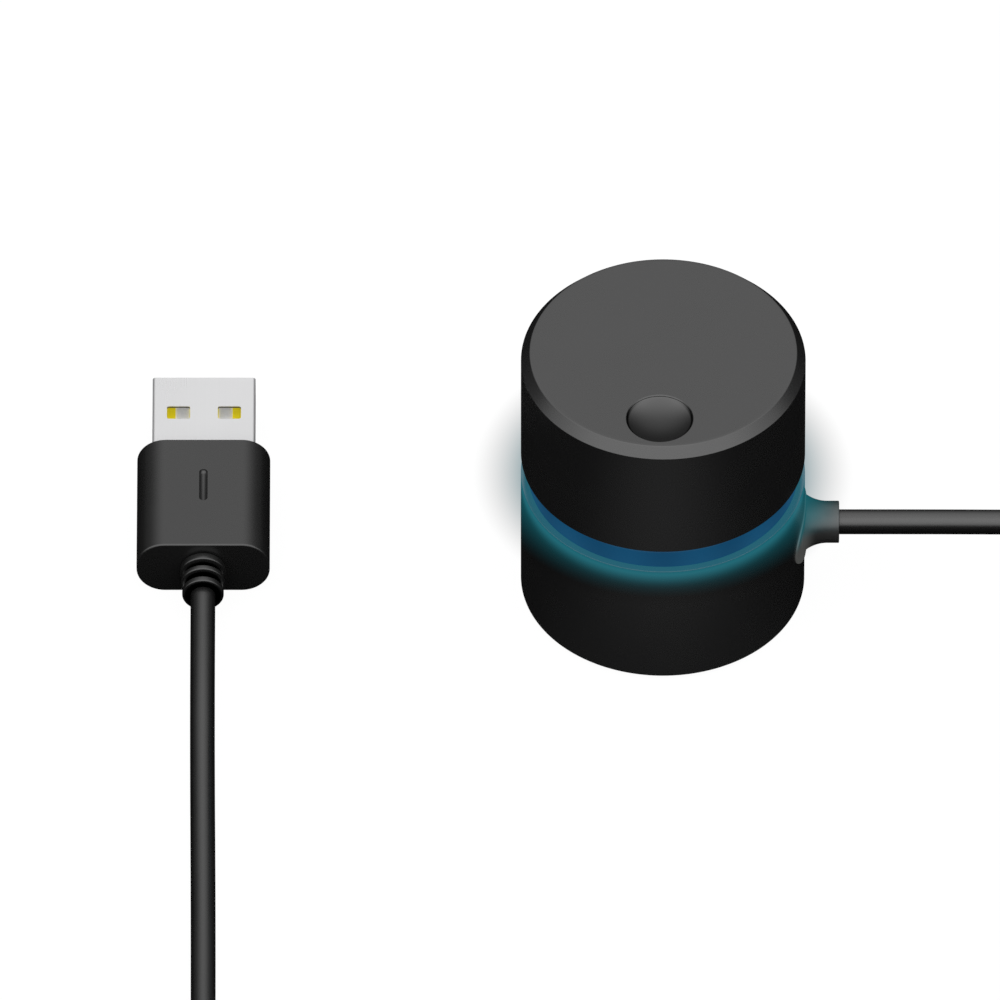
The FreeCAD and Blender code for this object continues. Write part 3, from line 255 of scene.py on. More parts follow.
class Shader:
    """The node tree of one material, or of the world."""

    def __init__(self, owner: bpy.types.Material | bpy.types.World) -> None:
        """Empties the owner's node tree.

        Args:
            owner: The material or the world.
        """
        self.owner = owner
        owner.use_nodes = True
        self.tree = owner.node_tree
        self.tree.nodes.clear()

    def add(self, kind: str, inputs: Mapping[str | int, Value] | None = None,
            **settings: Any) -> bpy.types.Node:
        """Adds a node: its type first, then its settings, then its inputs.

        Args:
            kind: The node's type.
            inputs: Values or links by socket name or number.
            settings: Properties of the node.

        Returns:
            The new node.
        """
        node = self.tree.nodes.new(kind)
        for name, value in settings.items():
            setattr(node, name, value)
        for key, value in (inputs or {}).items():
            self.feed(node.inputs[key], value)
        return node

    def feed(self, socket: bpy.types.NodeSocket, value: Value) -> None:
        """Links or sets one input.

        Args:
            socket: The input.
            value: A signal, a socket, a number, a vector or a colour.
        """
        if isinstance(value, Signal):
            value = value.socket
        if isinstance(value, bpy.types.NodeSocket):
            self.tree.links.new(value, socket)
        elif socket.type == "RGBA" and len(value) == 3:
            socket.default_value = (*value, 1.0)
        else:
            socket.default_value = value

    def split(self, vector: bpy.types.NodeSocket) -> tuple[Signal, Signal, Signal]:
        """Takes a vector apart into X, Y and Z."""
        parts = self.add("ShaderNodeSeparateXYZ", {0: vector}).outputs
        return (Signal(self, parts[0]), Signal(self, parts[1]), Signal(self, parts[2]))

    def place(self) -> bpy.types.NodeSocket:
        """The point being shaded, in the piece's own metres."""
        return self.add("ShaderNodeTexCoord").outputs["Object"]

    def axes(self, centre: Point = ORIGIN) -> tuple[Signal, Signal, Signal]:
        """The shaded point's coordinates.

        Args:
            centre: The point to measure from, in millimetres.

        Returns:
            X, Y and Z in millimetres.
        """
        shift = tuple(-along * MM for along in centre)
        moved = self.add("ShaderNodeMapping", {"Vector": self.place(), "Location": shift})
        scaled = self.add("ShaderNodeVectorMath", {0: moved.outputs[0], 3: 1 / MM},
                          operation="SCALE")
        return self.split(scaled.outputs[0])

    def rays(self, *kinds: str) -> list[Signal]:
        """Tells kinds of ray apart.

        Args:
            kinds: Their names.

        Returns:
            For each kind a signal that is 1 for its rays and 0 for all others.
        """
        seen = self.add("ShaderNodeLightPath")
        return [Signal(self, seen.outputs[f"Is {kind} Ray"]) for kind in kinds]

    def noise(self, size: float, detail: float = CLOUDY,
              stretch: Point = (1.0, 1.0, 1.0)) -> Signal:
        """Cloudy noise.

        Args:
            size: The size of its blots, in millimetres.
            detail: How many finer octaves it has.
            stretch: How many times as fine it is along each axis.

        Returns:
            A signal about 0.5.
        """
        where = self.add("ShaderNodeMapping", {"Vector": self.place(), "Scale": stretch})
        node = self.add("ShaderNodeTexNoise", {
            "Vector": where.outputs[0], "Scale": 1 / (size * MM), "Detail": detail})
        return Signal(self, node.outputs["Fac"])

    def blend(self, share: Value, first: Value, second: Value) -> bpy.types.NodeSocket:
        """Mixes two colours.

        Args:
            share: 0 gives the first colour and 1 the second.
            first: A colour.
            second: Another colour.

        Returns:
            The mixed colour.
        """
        node = self.add("ShaderNodeMix", {0: share, 6: first, 7: second}, data_type="RGBA")
        return node.outputs[2]

    def tone(self, colour: Value, strength: Signal) -> bpy.types.NodeSocket:
        """A colour made lighter or darker by a signal."""
        node = self.add("ShaderNodeVectorMath", {0: colour, 3: strength}, operation="SCALE")
        return node.outputs[0]

    def bump(self, height: Signal, depth: float) -> bpy.types.NodeSocket:
        """Turns a height signal into a normal.

        Args:
            height: The height, from 0 to 1.
            depth: How high 1 stands, in millimetres.

        Returns:
            The bent normal.
        """
        node = self.add("ShaderNodeBump", {
            "Height": height, "Distance": depth * MM, "Strength": 1.0})
        return node.outputs["Normal"]

    def end(self, last: bpy.types.Node) -> bpy.types.Material | bpy.types.World:
        """Joins the last node to the tree's output.

        Args:
            last: The shader node that gives the surface or the world.

        Returns:
            The finished owner.
        """
        kind = "World" if isinstance(self.owner, bpy.types.World) else "Material"
        self.add(f"ShaderNodeOutput{kind}", {"Surface": last.outputs[0]})
        return self.owner


def new_shader(name: str) -> Shader:
    """Starts a material with an empty node tree."""
    return Shader(bpy.data.materials.new(name))


# ---- Finishes ----
@dataclass(frozen=True)
class Finish:
    """A finish that one Principled shader gives."""

    name: str

    def coat(self, shader: Shader) -> dict[str, Value]:
        """Works out the Principled shader's inputs.

        Args:
            shader: The material in the making.

        Returns:
            The inputs by name, with underscores for spaces.
        """
        raise NotImplementedError

    def make(self) -> bpy.types.Material:
        """Builds the material.

        Returns:
            The finished material.
        """
        shader = new_shader(self.name)
        inputs = {name.replace("_", " "): value for name, value in self.coat(shader).items()}
        return shader.end(shader.add("ShaderNodeBsdfPrincipled", inputs))


@dataclass(frozen=True)
class Moulded(Finish):
    """Opaque plastic, paint or rubber with a fine spark-eroded grain, and a painted glow where one
    is given.
    """

    colour: Colour
    roughness: float = 0.42
    grain: float = 0.28
    depth: float = 0.004
    mottle: float = 0.08
    ior: float = 1.5
    # Painted glow: emission in the finish's own colour, so the surface looks lit though it is no
    # lamp.
    painted_glow: float = 0.0
    cloud: float = 22.0
    cloud_gloss: float = 0.12
    grain_gloss: float = 0.08

    def coat(self, shader: Shader) -> dict[str, Value]:
        """Draws the grain, and clouds of a few dozen grains, and adds the painted glow.

        Args:
            shader: The material in the making.

        Returns:
            The inputs by name.
        """
        grain = shader.noise(self.grain, FINE)
        cloud = shader.noise(self.grain * self.cloud, FINE)
        return {
            "Base_Color": shader.tone(self.colour, 1 + self.mottle * (cloud + grain - 1)),
            "Roughness": (self.roughness + cloud.swing(self.cloud_gloss)
                          + grain.swing(self.grain_gloss)),
            "Normal": shader.bump(grain, self.depth),
            "IOR": self.ior,
            # The painted glow, in the plastic's own colour.
            "Emission_Color": self.colour,
            "Emission_Strength": self.painted_glow}


@dataclass(frozen=True)
class Machined(Finish):
    """Bare or plated metal with fine marks of the tool or the brush along one axis, and a painted
    glow where one is given.
    """

    colour: Colour
    roughness: float = 0.26
    along: Axis = Axis.Z
    mark: float = 0.05
    depth: float = 0.0012
    stretch: float = 0.03
    metallic: float = 1.0
    # Painted glow: emission in the metal's own colour, so the surface looks lit though it is no
    # lamp.
    painted_glow: float = 0.0
    smear: float = 60.0
    darkest: float = 0.94
    smear_tone: float = 0.08
    mark_tone: float = 0.04
    smear_gloss: float = 0.1
    mark_gloss: float = 0.08

    def coat(self, shader: Shader) -> dict[str, Value]:
        """Draws the marks, and smears many marks wide, and adds the painted glow.

        Args:
            shader: The material in the making.

        Returns:
            The inputs by name.
        """
        stretch = tuple(self.stretch if axis is self.along else 1.0 for axis in Axis)
        marks = shader.noise(self.mark, stretch=stretch)
        smear = shader.noise(self.mark * self.smear)
        tone = self.darkest + self.smear_tone * smear + self.mark_tone * marks
        return {
            "Base_Color": shader.tone(self.colour, tone),
            "Metallic": self.metallic,
            "Roughness": (self.roughness + marks.swing(self.mark_gloss)
                          + smear.swing(self.smear_gloss)),
            "Normal": shader.bump(marks, self.depth),
            # The painted glow, in the metal's own colour.
            "Emission_Color": self.colour,
            "Emission_Strength": self.painted_glow}


@dataclass(frozen=True)
class FoldedSheet(Machined):
    """Plated sheet, with painted shade on its cut edges and on the inside of its fold."""

    middle: Point = (-53.45, 0.0, 3.75)
    half_wide: float = 6.0
    half_thick: float = 2.25
    skin: float = 0.12
    blur: float = 0.02
    painted_edge_shade: Colour = (0.1, 0.1, 0.095)

    def coat(self, shader: Shader) -> dict[str, Value]:
        """Keeps the plating to the outer faces, and paints shade on the cut edges and inner faces.

        Args:
            shader: The material in the making.

        Returns:
            The inputs by name.
        """
        coat = super().coat(shader)
        x, _, z = shader.axes(self.middle)
        flank = (x.size() + self.skin).rise(self.half_wide, self.half_wide + self.blur)
        face = (z.size() + self.skin).rise(self.half_thick, self.half_thick + self.blur)
        # Painted shade: away from the outer faces the sheet takes a dark grey in place of the
        # plating.
        coat["Base_Color"] = shader.blend(flank.most(face), self.painted_edge_shade, coat["Base_Color"])
        return coat


@dataclass(frozen=True)
class Circuit(Finish):
    """Solder mask over slanting copper tracks."""

    colour: Colour
    track: Colour
    pitch: float = 1.3
    slant: float = 0.5
    cloud: float = 5.0
    warp: float = 4.0
    track_start: Range = (0.55, 0.6)
    track_end: Range = (0.85, 0.9)
    track_height: float = 0.02
    roughness: float = 0.32
    gloss: float = 0.1

    def coat(self, shader: Shader) -> dict[str, Value]:
        """Draws the tracks.

        Args:
            shader: The material in the making.

        Returns:
            The inputs by name.
        """
        x, y, _ = shader.axes()
        warp = shader.noise(self.pitch * self.cloud, SMOOTH)
        lines = ((x + y * self.slant + warp * self.pitch * self.warp) / self.pitch).fraction()
        copper = lines.rise(*self.track_start) * (1 - lines.rise(*self.track_end))
        return {
            "Base_Color": shader.blend(copper, self.colour, self.track),
            "Roughness": self.roughness + self.gloss * warp,
            "Normal": shader.bump(copper, self.track_height)}


@dataclass(frozen=True)
class DishedCap(Moulded):
    """The cap's satin black finish, polished inside the finger rest, with painted shade on the
    rest's near side and rim and painted light on its far side and flanks.
    """

    dish: Point = (-0.45, -10.9, 36.5)
    dish_radius: float = 3.8
    dish_blur: float = 0.1
    dish_depth: Range = (-3.0, -2.0)
    dish_near_shade: Colour = grey(0.056)
    dish_far_light: Colour = grey(0.089)
    dish_light_span: Range = (0.3, 3.6)
    dish_rim_shade: Range = (3.5, 3.74)
    dish_side_light: float = 0.052
    polish: float = 0.22

    def coat(self, shader: Shader) -> dict[str, Value]:
        """Polishes the dish, paints shade on its near side and near rim, and paints light on its
        far side and flanks.

        Args:
            shader: The material in the making.

        Returns:
            The inputs by name.
        """
        coat = super().coat(shader)
        x, y, z = shader.axes(self.dish)
        away = x.away(y)
        edge = away.rise(self.dish_radius, self.dish_radius + self.dish_blur)
        inside = (1 - edge) * z.rise(*self.dish_depth)
        # Painted light and shade: the dish goes from a darker near side to a lighter far side,
        # darkens along its near rim and lightens towards its flanks.
        turn = y.rise(*self.dish_light_span)
        dish = shader.blend(turn, self.dish_near_shade, self.dish_far_light)
        line = 1 - away.rise(*self.dish_rim_shade) * (1 - turn)
        dish = shader.tone(dish, line * (1 + self.dish_side_light * (x * x)))
        coat["Base_Color"] = shader.blend(inside, coat["Base_Color"], dish)
        coat["Metallic"] = inside
        coat["Roughness"] = coat["Roughness"] + inside * (self.polish - self.roughness)
        return coat


@dataclass(frozen=True)
class GroovedJacket(Moulded):
    """The plug's grip, with painted shade in the grooves between the boot's rings."""

    boot: Point = (-53.45, -1.8, 3.75)
    groove: Range = (1.95, 2.3)
    boot_front: Range = (-0.1, 0.0)
    shade: Colour = grey(0.002)

    def coat(self, shader: Shader) -> dict[str, Value]:
        """Darkens the grooves with painted shade.

        Args:
            shader: The material in the making.

        Returns:
            The inputs by name.
        """
        coat = super().coat(shader)
        x, y, z = shader.axes(self.boot)
        # Painted shade: the grooves, and the ring faces by the core, turn near black and metallic,
        # so they give back almost no light.
        groove = (1 - x.away(z).rise(*self.groove)) * (1 - y.rise(*self.boot_front))
        coat["Base_Color"] = shader.blend(groove, coat["Base_Color"], self.shade)
        coat["Metallic"] = groove
        return coat


@dataclass(frozen=True)
class LitShell(Moulded):
    """The shell's black finish with the lamps' light painted on its ledge and upper wall as a glow.
    """

    ledge: Colour = (0.011, 0.105, 0.145)
    wall: Colour = (0.025, 0.165, 0.215)
    top: float = 17.6
    reach: float = 3.4
    fall: float = 2.3
    ledge_end: Range = (0.1, 0.6)

    def coat(self, shader: Shader) -> dict[str, Value]:
        """Lets the painted glow fade with the depth below the ledge.

        Args:
            shader: The material in the making.

        Returns:
            The inputs by name.
        """
        coat = super().coat(shader)
        # Painted light: the ring's glow on the ledge and upper wall is emission in the shell's
        # finish, fading with depth.
        deep = self.top - shader.axes()[2]
        fade = (1 - deep.rise(0.0, self.reach)) ** self.fall
        lit = shader.blend(deep.rise(*self.ledge_end), self.ledge, self.wall)
        coat["Emission_Color"] = shader.blend(fade, BLACK, lit)
        coat["Emission_Strength"] = 1.0
        return coat


@dataclass(frozen=True)
class TintedRelief(Moulded):
    """Dark soft moulding with the lamps' teal light painted on next to the body, as a glow and a
    tinted reflection, and a painted grey glow on the flare by the shell.
    """

    tint: Colour = (0.05, 0.07, 0.074)
    lit: Colour = (0.006, 0.084, 0.098)
    foot: Colour = (0.052, 0.053, 0.05)
    foot_fade: Range = (16.2, 17.9)
    tint_fade: Range = (16.8, 21.5)
    tint_height: Range = (9.8, 12.2)

    def coat(self, shader: Shader) -> dict[str, Value]:
        """Paints the lamps' glow and a tinted reflection on the end next to the body, above the
        cord's middle, and a grey glow on the flare by the shell.

        Args:
            shader: The material in the making.

        Returns:
            The inputs by name.
        """
        coat = super().coat(shader)
        x, _, z = shader.axes()
        painted_glow_mask = (1 - x.rise(*self.tint_fade)) * z.rise(*self.tint_height)
        # Painted reflection: near the body the moulding turns metallic in a teal grey, so its gloss
        # takes the lamps' tint.
        coat["Base_Color"] = shader.blend(painted_glow_mask, coat["Base_Color"], self.tint)
        coat["Metallic"] = painted_glow_mask
        # Painted light: a grey glow on the flare next to the shell that fades outwards, and a teal
        # glow from the lamps above the cord's middle.
        shade = shader.tone(self.foot, 1 - x.rise(*self.foot_fade))
        coat["Emission_Color"] = shader.blend(painted_glow_mask, shade, self.lit)
        coat["Emission_Strength"] = 1.0
        return coat


@dataclass(frozen=True)
class Translucent(Finish):
    """Frosted light guide, brightest in front of each lamp behind it."""

    colour: Colour = (0.003, 0.01, 0.016)
    dim: Colour = (0.003, 0.046, 0.112)
    bright: Colour = (0.005, 0.064, 0.146)
    lamps: int = 10
    first: float = 45.0
    span: float = 270.0
    frost: float = 0.5
    frost_depth: float = 0.006
    middle: float = 0.5
    beat: float = 0.3
    roughness: float = 0.5
    gloss: float = 0.1
    specular: float = 0.2

    def coat(self, shader: Shader) -> dict[str, Value]:
        """Draws a brighter spot at each lamp.

        Args:
            shader: The material in the making.

        Returns:
            The inputs by name.
        """
        x, y, _ = shader.axes()
        step = math.radians(self.span / (self.lamps - 1))
        turn = (y.heading(x) - math.radians(self.first)) / step * math.tau
        beat = (turn + math.pi / 2).wave()
        frost = shader.noise(self.frost, FINE)
        share = self.middle + self.beat * beat + frost.swing(self.beat)
        return {
            "Base_Color": self.colour,
            "Roughness": self.roughness + self.gloss * frost,
            "Specular_IOR_Level": self.specular,
            "Normal": shader.bump(frost, self.frost_depth),
            "Emission_Color": shader.blend(share, self.dim, self.bright),
            "Emission_Strength": 1.0}


@dataclass(frozen=True)
class Lamp(Finish):
    """Small pale lamp package that gives off a little of its light."""

    colour: Colour = (0.75, 0.75, 0.72)
    light: Colour = (0.05, 0.35, 0.5)
    fleck: float = 0.4
    darkest: float = 0.9
    contrast: float = 0.2
    roughness: float = 0.3
    gloss: float = 0.1

    def coat(self, shader: Shader) -> dict[str, Value]:
        """Flecks the package.

        Args:
            shader: The material in the making.

        Returns:
            The inputs by name.
        """
        fleck = shader.noise(self.fleck)
        return {
            "Base_Color": shader.tone(self.colour, self.darkest + self.contrast * fleck),
            "Roughness": self.roughness + self.gloss * fleck,
            "Emission_Color": self.light,
            "Emission_Strength": 1.0}


@dataclass(frozen=True)
class Woven(Finish):
    """Plain woven tape, read from the piece's own UV map in millimetres."""

    colour: Colour
    thread: float = 0.42
    crossing: float = 0.15
    fuzz: float = 0.12
    darkest: float = 0.55
    contrast: float = 0.6
    fuzz_tone: float = 0.5
    fuzz_height: float = 0.3
    depth: float = 0.09
    roughness: float = 0.9
    gloss: float = 0.1
    sheen: float = 0.25

    def coat(self, shader: Shader) -> dict[str, Value]:
        """Weaves the threads over and under each other.

        Args:
            shader: The material in the making.

        Returns:
            The inputs by name.
        """
        u, v, _ = shader.split(shader.add("ShaderNodeTexCoord").outputs["UV"])
        across = (u * (math.pi / self.thread)).wave()
        along = (v * (math.pi / self.thread)).wave()
        over = (across * along).rise(-self.crossing, self.crossing)
        weft = (v * (math.tau / self.thread)).wave().size()
        warp = (u * (math.tau / self.thread)).wave().size()
        height = over * weft + (1 - over) * warp
        fuzz = shader.noise(self.fuzz, FINE)
        tone = self.darkest + self.contrast * height + fuzz.swing(self.fuzz_tone)
        return {
            "Base_Color": shader.tone(self.colour, tone),
            "Roughness": self.roughness - self.gloss * height,
            "Sheen_Weight": self.sheen,
            "Normal": shader.bump(height + self.fuzz_height * fuzz, self.depth)}


SATIN: Mapping[str, Any] = {
    "colour": (0.0105, 0.0105, 0.0107), "roughness": 0.26, "grain": 0.22, "depth": 0.0016,
    "mottle": 0.1, "ior": 1.83}


@dataclass(frozen=True)
class Palette:
    """Every finish of the object, under the name of its material slot or its own."""

    finishes: Mapping[str, Finish] = field(default_factory=lambda: {
        "anodised_black": DishedCap("satin_black", **SATIN),
        "lit_black": LitShell("satin_black_lit", **SATIN),
        "hub_plastic": Moulded("hub_plastic", (0.045, 0.046, 0.05), 0.45),
        "frame_plastic": Moulded("frame_plastic", (0.03, 0.031, 0.033), 0.5),
        "case_plastic": Moulded("case_plastic", (0.05, 0.05, 0.052), 0.4),
        # The white plastic carries a painted glow that brightens it, the plug's tongue above all.
        "white_plastic": Moulded("white_plastic", (0.87, 0.875, 0.89), 0.4,
                                 mottle=0.04, painted_glow=0.26),
        "light_guide": Translucent("light_guide"),
        "steel": Machined("rolled_steel", (0.5, 0.5, 0.49), 0.32, Axis.X),
        "nickel_brass": Machined("nickel_on_brass", (0.62, 0.58, 0.5), 0.24),
        "screw_steel": Machined("screw_steel", (0.34, 0.34, 0.35), 0.28),
        "board_green": Circuit("solder_mask", (0.008, 0.07, 0.03), (0.02, 0.13, 0.05)),
        "lamp": Lamp("lamp_package"),
        "chip_black": Moulded("chip_epoxy", (0.014, 0.014, 0.015), 0.55, 0.1),
        "part_tan": Moulded("small_parts", (0.32, 0.22, 0.13), 0.4, 0.1),
        **{f"wire_{name}": Moulded(f"{name}_insulation", colour, 0.35)
           for name, colour in WIRES.items()},
        "cord_black": Moulded("cord_jacket", grey(0.007), 0.28, 0.35, 0.003, ior=1.8),
        "grip_black": GroovedJacket("grip_jacket", grey(0.0095), 0.28, 0.35, 0.003, ior=1.72),
        "relief_grey": TintedRelief("relief_moulding", grey(0.034), 0.32, ior=1.8),
        "foot_rubber": Moulded("foot_rubber", grey(0.025), 0.75, 0.35, 0.02),
        "tie_fabric": Woven("tie_tape", (0.03, 0.03, 0.033)),
        "shell_nickel": FoldedSheet("shell_nickel", (0.75, 0.75, 0.757), 0.3, Axis.Y,
                                    0.2, 0.0001, 0.002, 0.65),
        # The gold contacts carry a painted glow that brightens them inside the plug's windows.
        "contact_gold": Machined("contact_gold", (0.98, 0.8, 0.02), 0.4, Axis.Y,
                                 metallic=0.3, painted_glow=0.4),
    })

    def materials(self) -> dict[str, bpy.types.Material]:
        """Makes every material, by the same names."""
        return {slot: finish.make() for slot, finish in self.finishes.items()}


# ---- Modelling stock ----
@dataclass(frozen=True)
class Corner:
    """A corner of an outline: distance from the axis, place along it, and its rounding."""

    out: float
    along: float
    rounding: float = 0.0


class Stock:
    """A piece in the making, in millimetres."""

    def __init__(self) -> None:
        """Starts with nothing."""
        self.bm = bmesh.new()

    def soften(self, parts: Sequence[Any], width: float, segments: int = 3,
               affect: str = "EDGES") -> None:
        """Rounds edges or corners.

        Args:
            parts: The edges, or the corner points.
            width: How far from them the rounding starts.
            segments: Steps across the rounding.
            affect: EDGES or VERTICES.
        """
        bmesh.ops.bevel(self.bm, geom=list(parts), offset=width, offset_type="OFFSET",
                        segments=segments, profile=0.5, affect=affect, material=-1)

    def trace(self, points: Sequence[Point], roundings: Sequence[float], closed: bool,
              segments: int = 5) -> list[bmesh.types.BMEdge]:
        """Draws an outline and rounds its corners.

        Args:
            points: The corners in order.
            roundings: Each corner's radius.
            closed: Whether the last corner joins the first.
            segments: Edges in each rounded corner.

        Returns:
            The outline's edges.
        """
        drawn = set(self.bm.edges)
        verts = [self.bm.verts.new(point) for point in points]
        ends = list(zip(verts, verts[1:])) + ([(verts[-1], verts[0])] if closed else [])
        for pair in ends:
            self.bm.edges.new(pair)
        before, after = points[-1:] + points[:-1], points[1:] + points[:1]
        for vert, rounding, here, last, following in zip(verts, roundings, points, before, after):
            if rounding:
                bend = (Vector(here) - Vector(last)).angle(Vector(following) - Vector(here))
                self.soften([vert], rounding * math.tan(bend / 2), segments, "VERTICES")
        return [edge for edge in self.bm.edges if edge not in drawn]

    def turn(self, corners: Sequence[Corner], closed: bool = True, along: Axis = Axis.Z,
             centre: Point = ORIGIN, steps: int = TURN_STEPS) -> Stock:
        """Turns an outline about an axis.

        Args:
            corners: The outline's corners in order.
            closed: Whether the outline joins up.
            along: The axis.
            centre: A point on the axis.
            steps: Faces round the turned shape.

        Returns:
            This stock.
        """
        standing = set(self.bm.verts)
        edges = self.trace([(corner.out, 0.0, corner.along) for corner in corners],
                           [corner.rounding for corner in corners], closed)
        bmesh.ops.spin(self.bm, geom=ends_of(edges) + edges, cent=(0, 0, 0), axis=(0, 0, 1),
                       dvec=(0, 0, 0), angle=math.tau, steps=steps, use_merge=True,
                       use_duplicate=False)
        new = [vert for vert in self.bm.verts if vert not in standing]
        bmesh.ops.remove_doubles(self.bm, verts=new, dist=MERGE)
        new = [vert for vert in self.bm.verts if vert not in standing]
        quarter = math.pi / 2
        lay = {Axis.X: Euler((0, quarter, 0)), Axis.Y: Euler((-quarter, 0, 0)), Axis.Z: Euler()}
        place = Matrix.Translation(centre) @ lay[along].to_matrix().to_4x4()
        bmesh.ops.transform(self.bm, verts=new, matrix=place)
        return self

    def rod(self, radius: float, start: float, end: float, **lay: Any) -> Stock:
        """Turns a plain rod.

        Args:
            radius: Its radius.
            start: Where it starts on its axis.
            end: Where it ends.
            lay: The axis, centre and steps, as for any turned shape.

        Returns:
            This stock.
        """
        corners = [Corner(0.0, start), Corner(radius, start), Corner(radius, end),
                   Corner(0.0, end)]
        return self.turn(corners, closed=False, **lay)

    def loop(self, wide: float, tall: float, rounding: float, centre: Point,
             segments: int = 8) -> list[bmesh.types.BMEdge]:
        """Draws a rounded rectangle that faces along Y.

        Args:
            wide: Its size along X.
            tall: Its size along Z.
            rounding: Its corners' radius.
            centre: Its middle.
            segments: Edges in each corner.

        Returns:
            Its edges.
        """
        x, y, z = centre
        points = [(x + side * wide / 2, y, z + level * tall / 2)
                  for side, level in ((-1, -1), (1, -1), (1, 1), (-1, 1))]
        return self.trace(points, [rounding] * 4, True, segments)

    def draw_out(self, edges: Edges, shift: Point) -> list[bmesh.types.BMEdge]:
        """Pulls a wall out of an edge loop.

        Args:
            edges: The loop.
            shift: How far the far end goes.

        Returns:
            The loop at the far end.
        """
        made = bmesh.ops.extrude_edge_only(self.bm, edges=list(edges))["geom"]
        far = points_in(made)
        bmesh.ops.translate(self.bm, vec=shift, verts=far)
        return [part for part in made
                if isinstance(part, bmesh.types.BMEdge) and set(far).issuperset(part.verts)]

    def shrink(self, verts: Sequence[bmesh.types.BMVert], scale: Point, centre: Point) -> None:
        """Scales points about a place that stays.

        Args:
            verts: The points.
            scale: Their new spread along each axis, as a share of the old.
            centre: The place that stays.
        """
        bmesh.ops.scale(self.bm, vec=scale, verts=list(verts),
                        space=Matrix.Translation(-Vector(centre)))

    def sleeve(self, outer: Sequence[float], inner: Sequence[float], start: Point,
               long: float) -> None:
        """Draws a rounded rectangular tube along Y.

        Args:
            outer: Width, height and corner radius outside.
            inner: The same inside.
            start: The middle of its first end.
            long: Its length.
        """
        self.cover([*self.loop(*outer, start), *self.loop(*inner, start)])
        made = bmesh.ops.extrude_face_region(self.bm, geom=self.bm.faces[:])["geom"]
        bmesh.ops.translate(self.bm, vec=(0.0, long, 0.0), verts=points_in(made))

    def rim(self, across: Axis, level: float) -> list[bmesh.types.BMEdge]:
        """Finds the open edges that lie on a flat level.

        Args:
            across: The axis square to the level.
            level: The level's place on it.

        Returns:
            The edges.
        """
        return [edge for edge in self.bm.edges if len(edge.link_faces) < 2
                and all(abs(vert.co[across.value] - level) < MERGE for vert in edge.verts)]

    def cover(self, edges: Edges) -> None:
        """Closes the flat space between edge loops."""
        bmesh.ops.triangle_fill(self.bm, use_beauty=True, use_dissolve=False, edges=list(edges))

    def block(self, low: Point, high: Point, edge: float = 0.0, segments: int = 4) -> Stock:
        """Adds a box.

        Args:
            low: Its lowest corner.
            high: Its highest corner.
            edge: The rounding of its edges.
            segments: Steps across the rounding.

        Returns:
            This stock.
        """
        made = bmesh.ops.create_cube(self.bm, size=1.0)["verts"]
        size, middle = Vector(high) - Vector(low), (Vector(high) + Vector(low)) / 2
        place = Matrix.Translation(middle) @ Matrix.Diagonal((*size, 1.0))
        bmesh.ops.transform(self.bm, verts=made, matrix=place)
        if edge:
            links = dict.fromkeys(link for vert in made for link in vert.link_edges)
            self.soften(list(links), edge, segments)
        return self

    def _release(self, name: str) -> bpy.types.Object:
        """Gives the stock's present shape an object of its own.

        Args:
            name: The object's name.

        Returns:
            The object.
        """
        mesh = bpy.data.meshes.new(name)
        self.bm.to_mesh(mesh)
        return new_object(name, mesh)

    def combine(self, tool: Stock, way: Joinery) -> None:
        """Joins another solid on, cuts it out, or keeps what both share.

        Args:
            tool: The other solid, which is used up.
            way: What to do.
        """
        for stock in (self, tool):
            bmesh.ops.recalc_face_normals(stock.bm, faces=stock.bm.faces)
        first, second = self._release("stock"), tool._release("tool")
        joint = first.modifiers.new("joint", "BOOLEAN")
        joint.operation = way.value
        joint.solver = "EXACT"
        joint.object = second
        bpy.context.view_layer.update()
        graph = bpy.context.evaluated_depsgraph_get()
        result = bpy.data.meshes.new_from_object(first.evaluated_get(graph))
        self.bm.free()
        tool.bm.free()
        self.bm = bmesh.new()
        self.bm.from_mesh(result)
        bmesh.ops.remove_doubles(self.bm, verts=self.bm.verts, dist=MERGE)
        for mesh in (first.data, second.data, result):
            bpy.data.meshes.remove(mesh)

    def finish(self, name: str) -> bpy.types.Object:
        """Hands the piece over in metres, with outward faces and even shading.

        Args:
            name: The piece's name.

        Returns:
            The new object.
        """
        bmesh.ops.recalc_face_normals(self.bm, faces=self.bm.faces)
        for face in self.bm.faces:
            face.smooth = True
        for edge in self.bm.edges:
            edge.smooth = edge.calc_face_angle(0.0) < CREASE
        bmesh.ops.scale(self.bm, vec=(MM, MM, MM), verts=self.bm.verts)
        piece = self._release(name)
        self.bm.free()
        shading = piece.modifiers.new("even_shading", "WEIGHTED_NORMAL")
        shading.keep_sharp = True
        return piece


class Workshop:
    """Holds the frame and the finishes, and puts finished pieces in their places."""

    def __init__(self, frame: Mapping[str, Any],
                 materials: Mapping[str, bpy.types.Material]) -> None:
        """Keeps the loaded frame and the materials."""
        self.frame = frame
        self.materials = materials

    def mount(self, piece: bpy.types.Object, body: Body, slot: str, *nodes: str,
              finish: str = "") -> bpy.types.Object:
        """Gives a piece its finish, its body and the nodes that it stands for.

        Args:
            piece: The finished piece.
            body: What it rides on.
            slot: Its material slot.
            nodes: The frame's nodes that it replaces.
            finish: Its finish, where that isn't the slot's own.

        Returns:
            The same piece.
        """
        piece.data.materials.append(self.materials[finish or slot])
        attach(piece, body.value)
        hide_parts(*nodes)
        LOG.info("%s rides on %s and stands for %s", piece.name, body.value, ", ".join(nodes))
        return piece

    def dress(self, slot: str, *nodes: str) -> None:
        """Gives some of the frame's own nodes their finish.

        Args:
            slot: Their material slot.
            nodes: The nodes.
        """
        for node in nodes:
            thing = self.frame["nodes"][node]
            if not thing.material_slots:
                thing.data.materials.append(self.materials[slot])
            for holder in thing.material_slots:
                holder.material = self.materials[slot]
            LOG.info("%s is dressed in %s", node, slot)


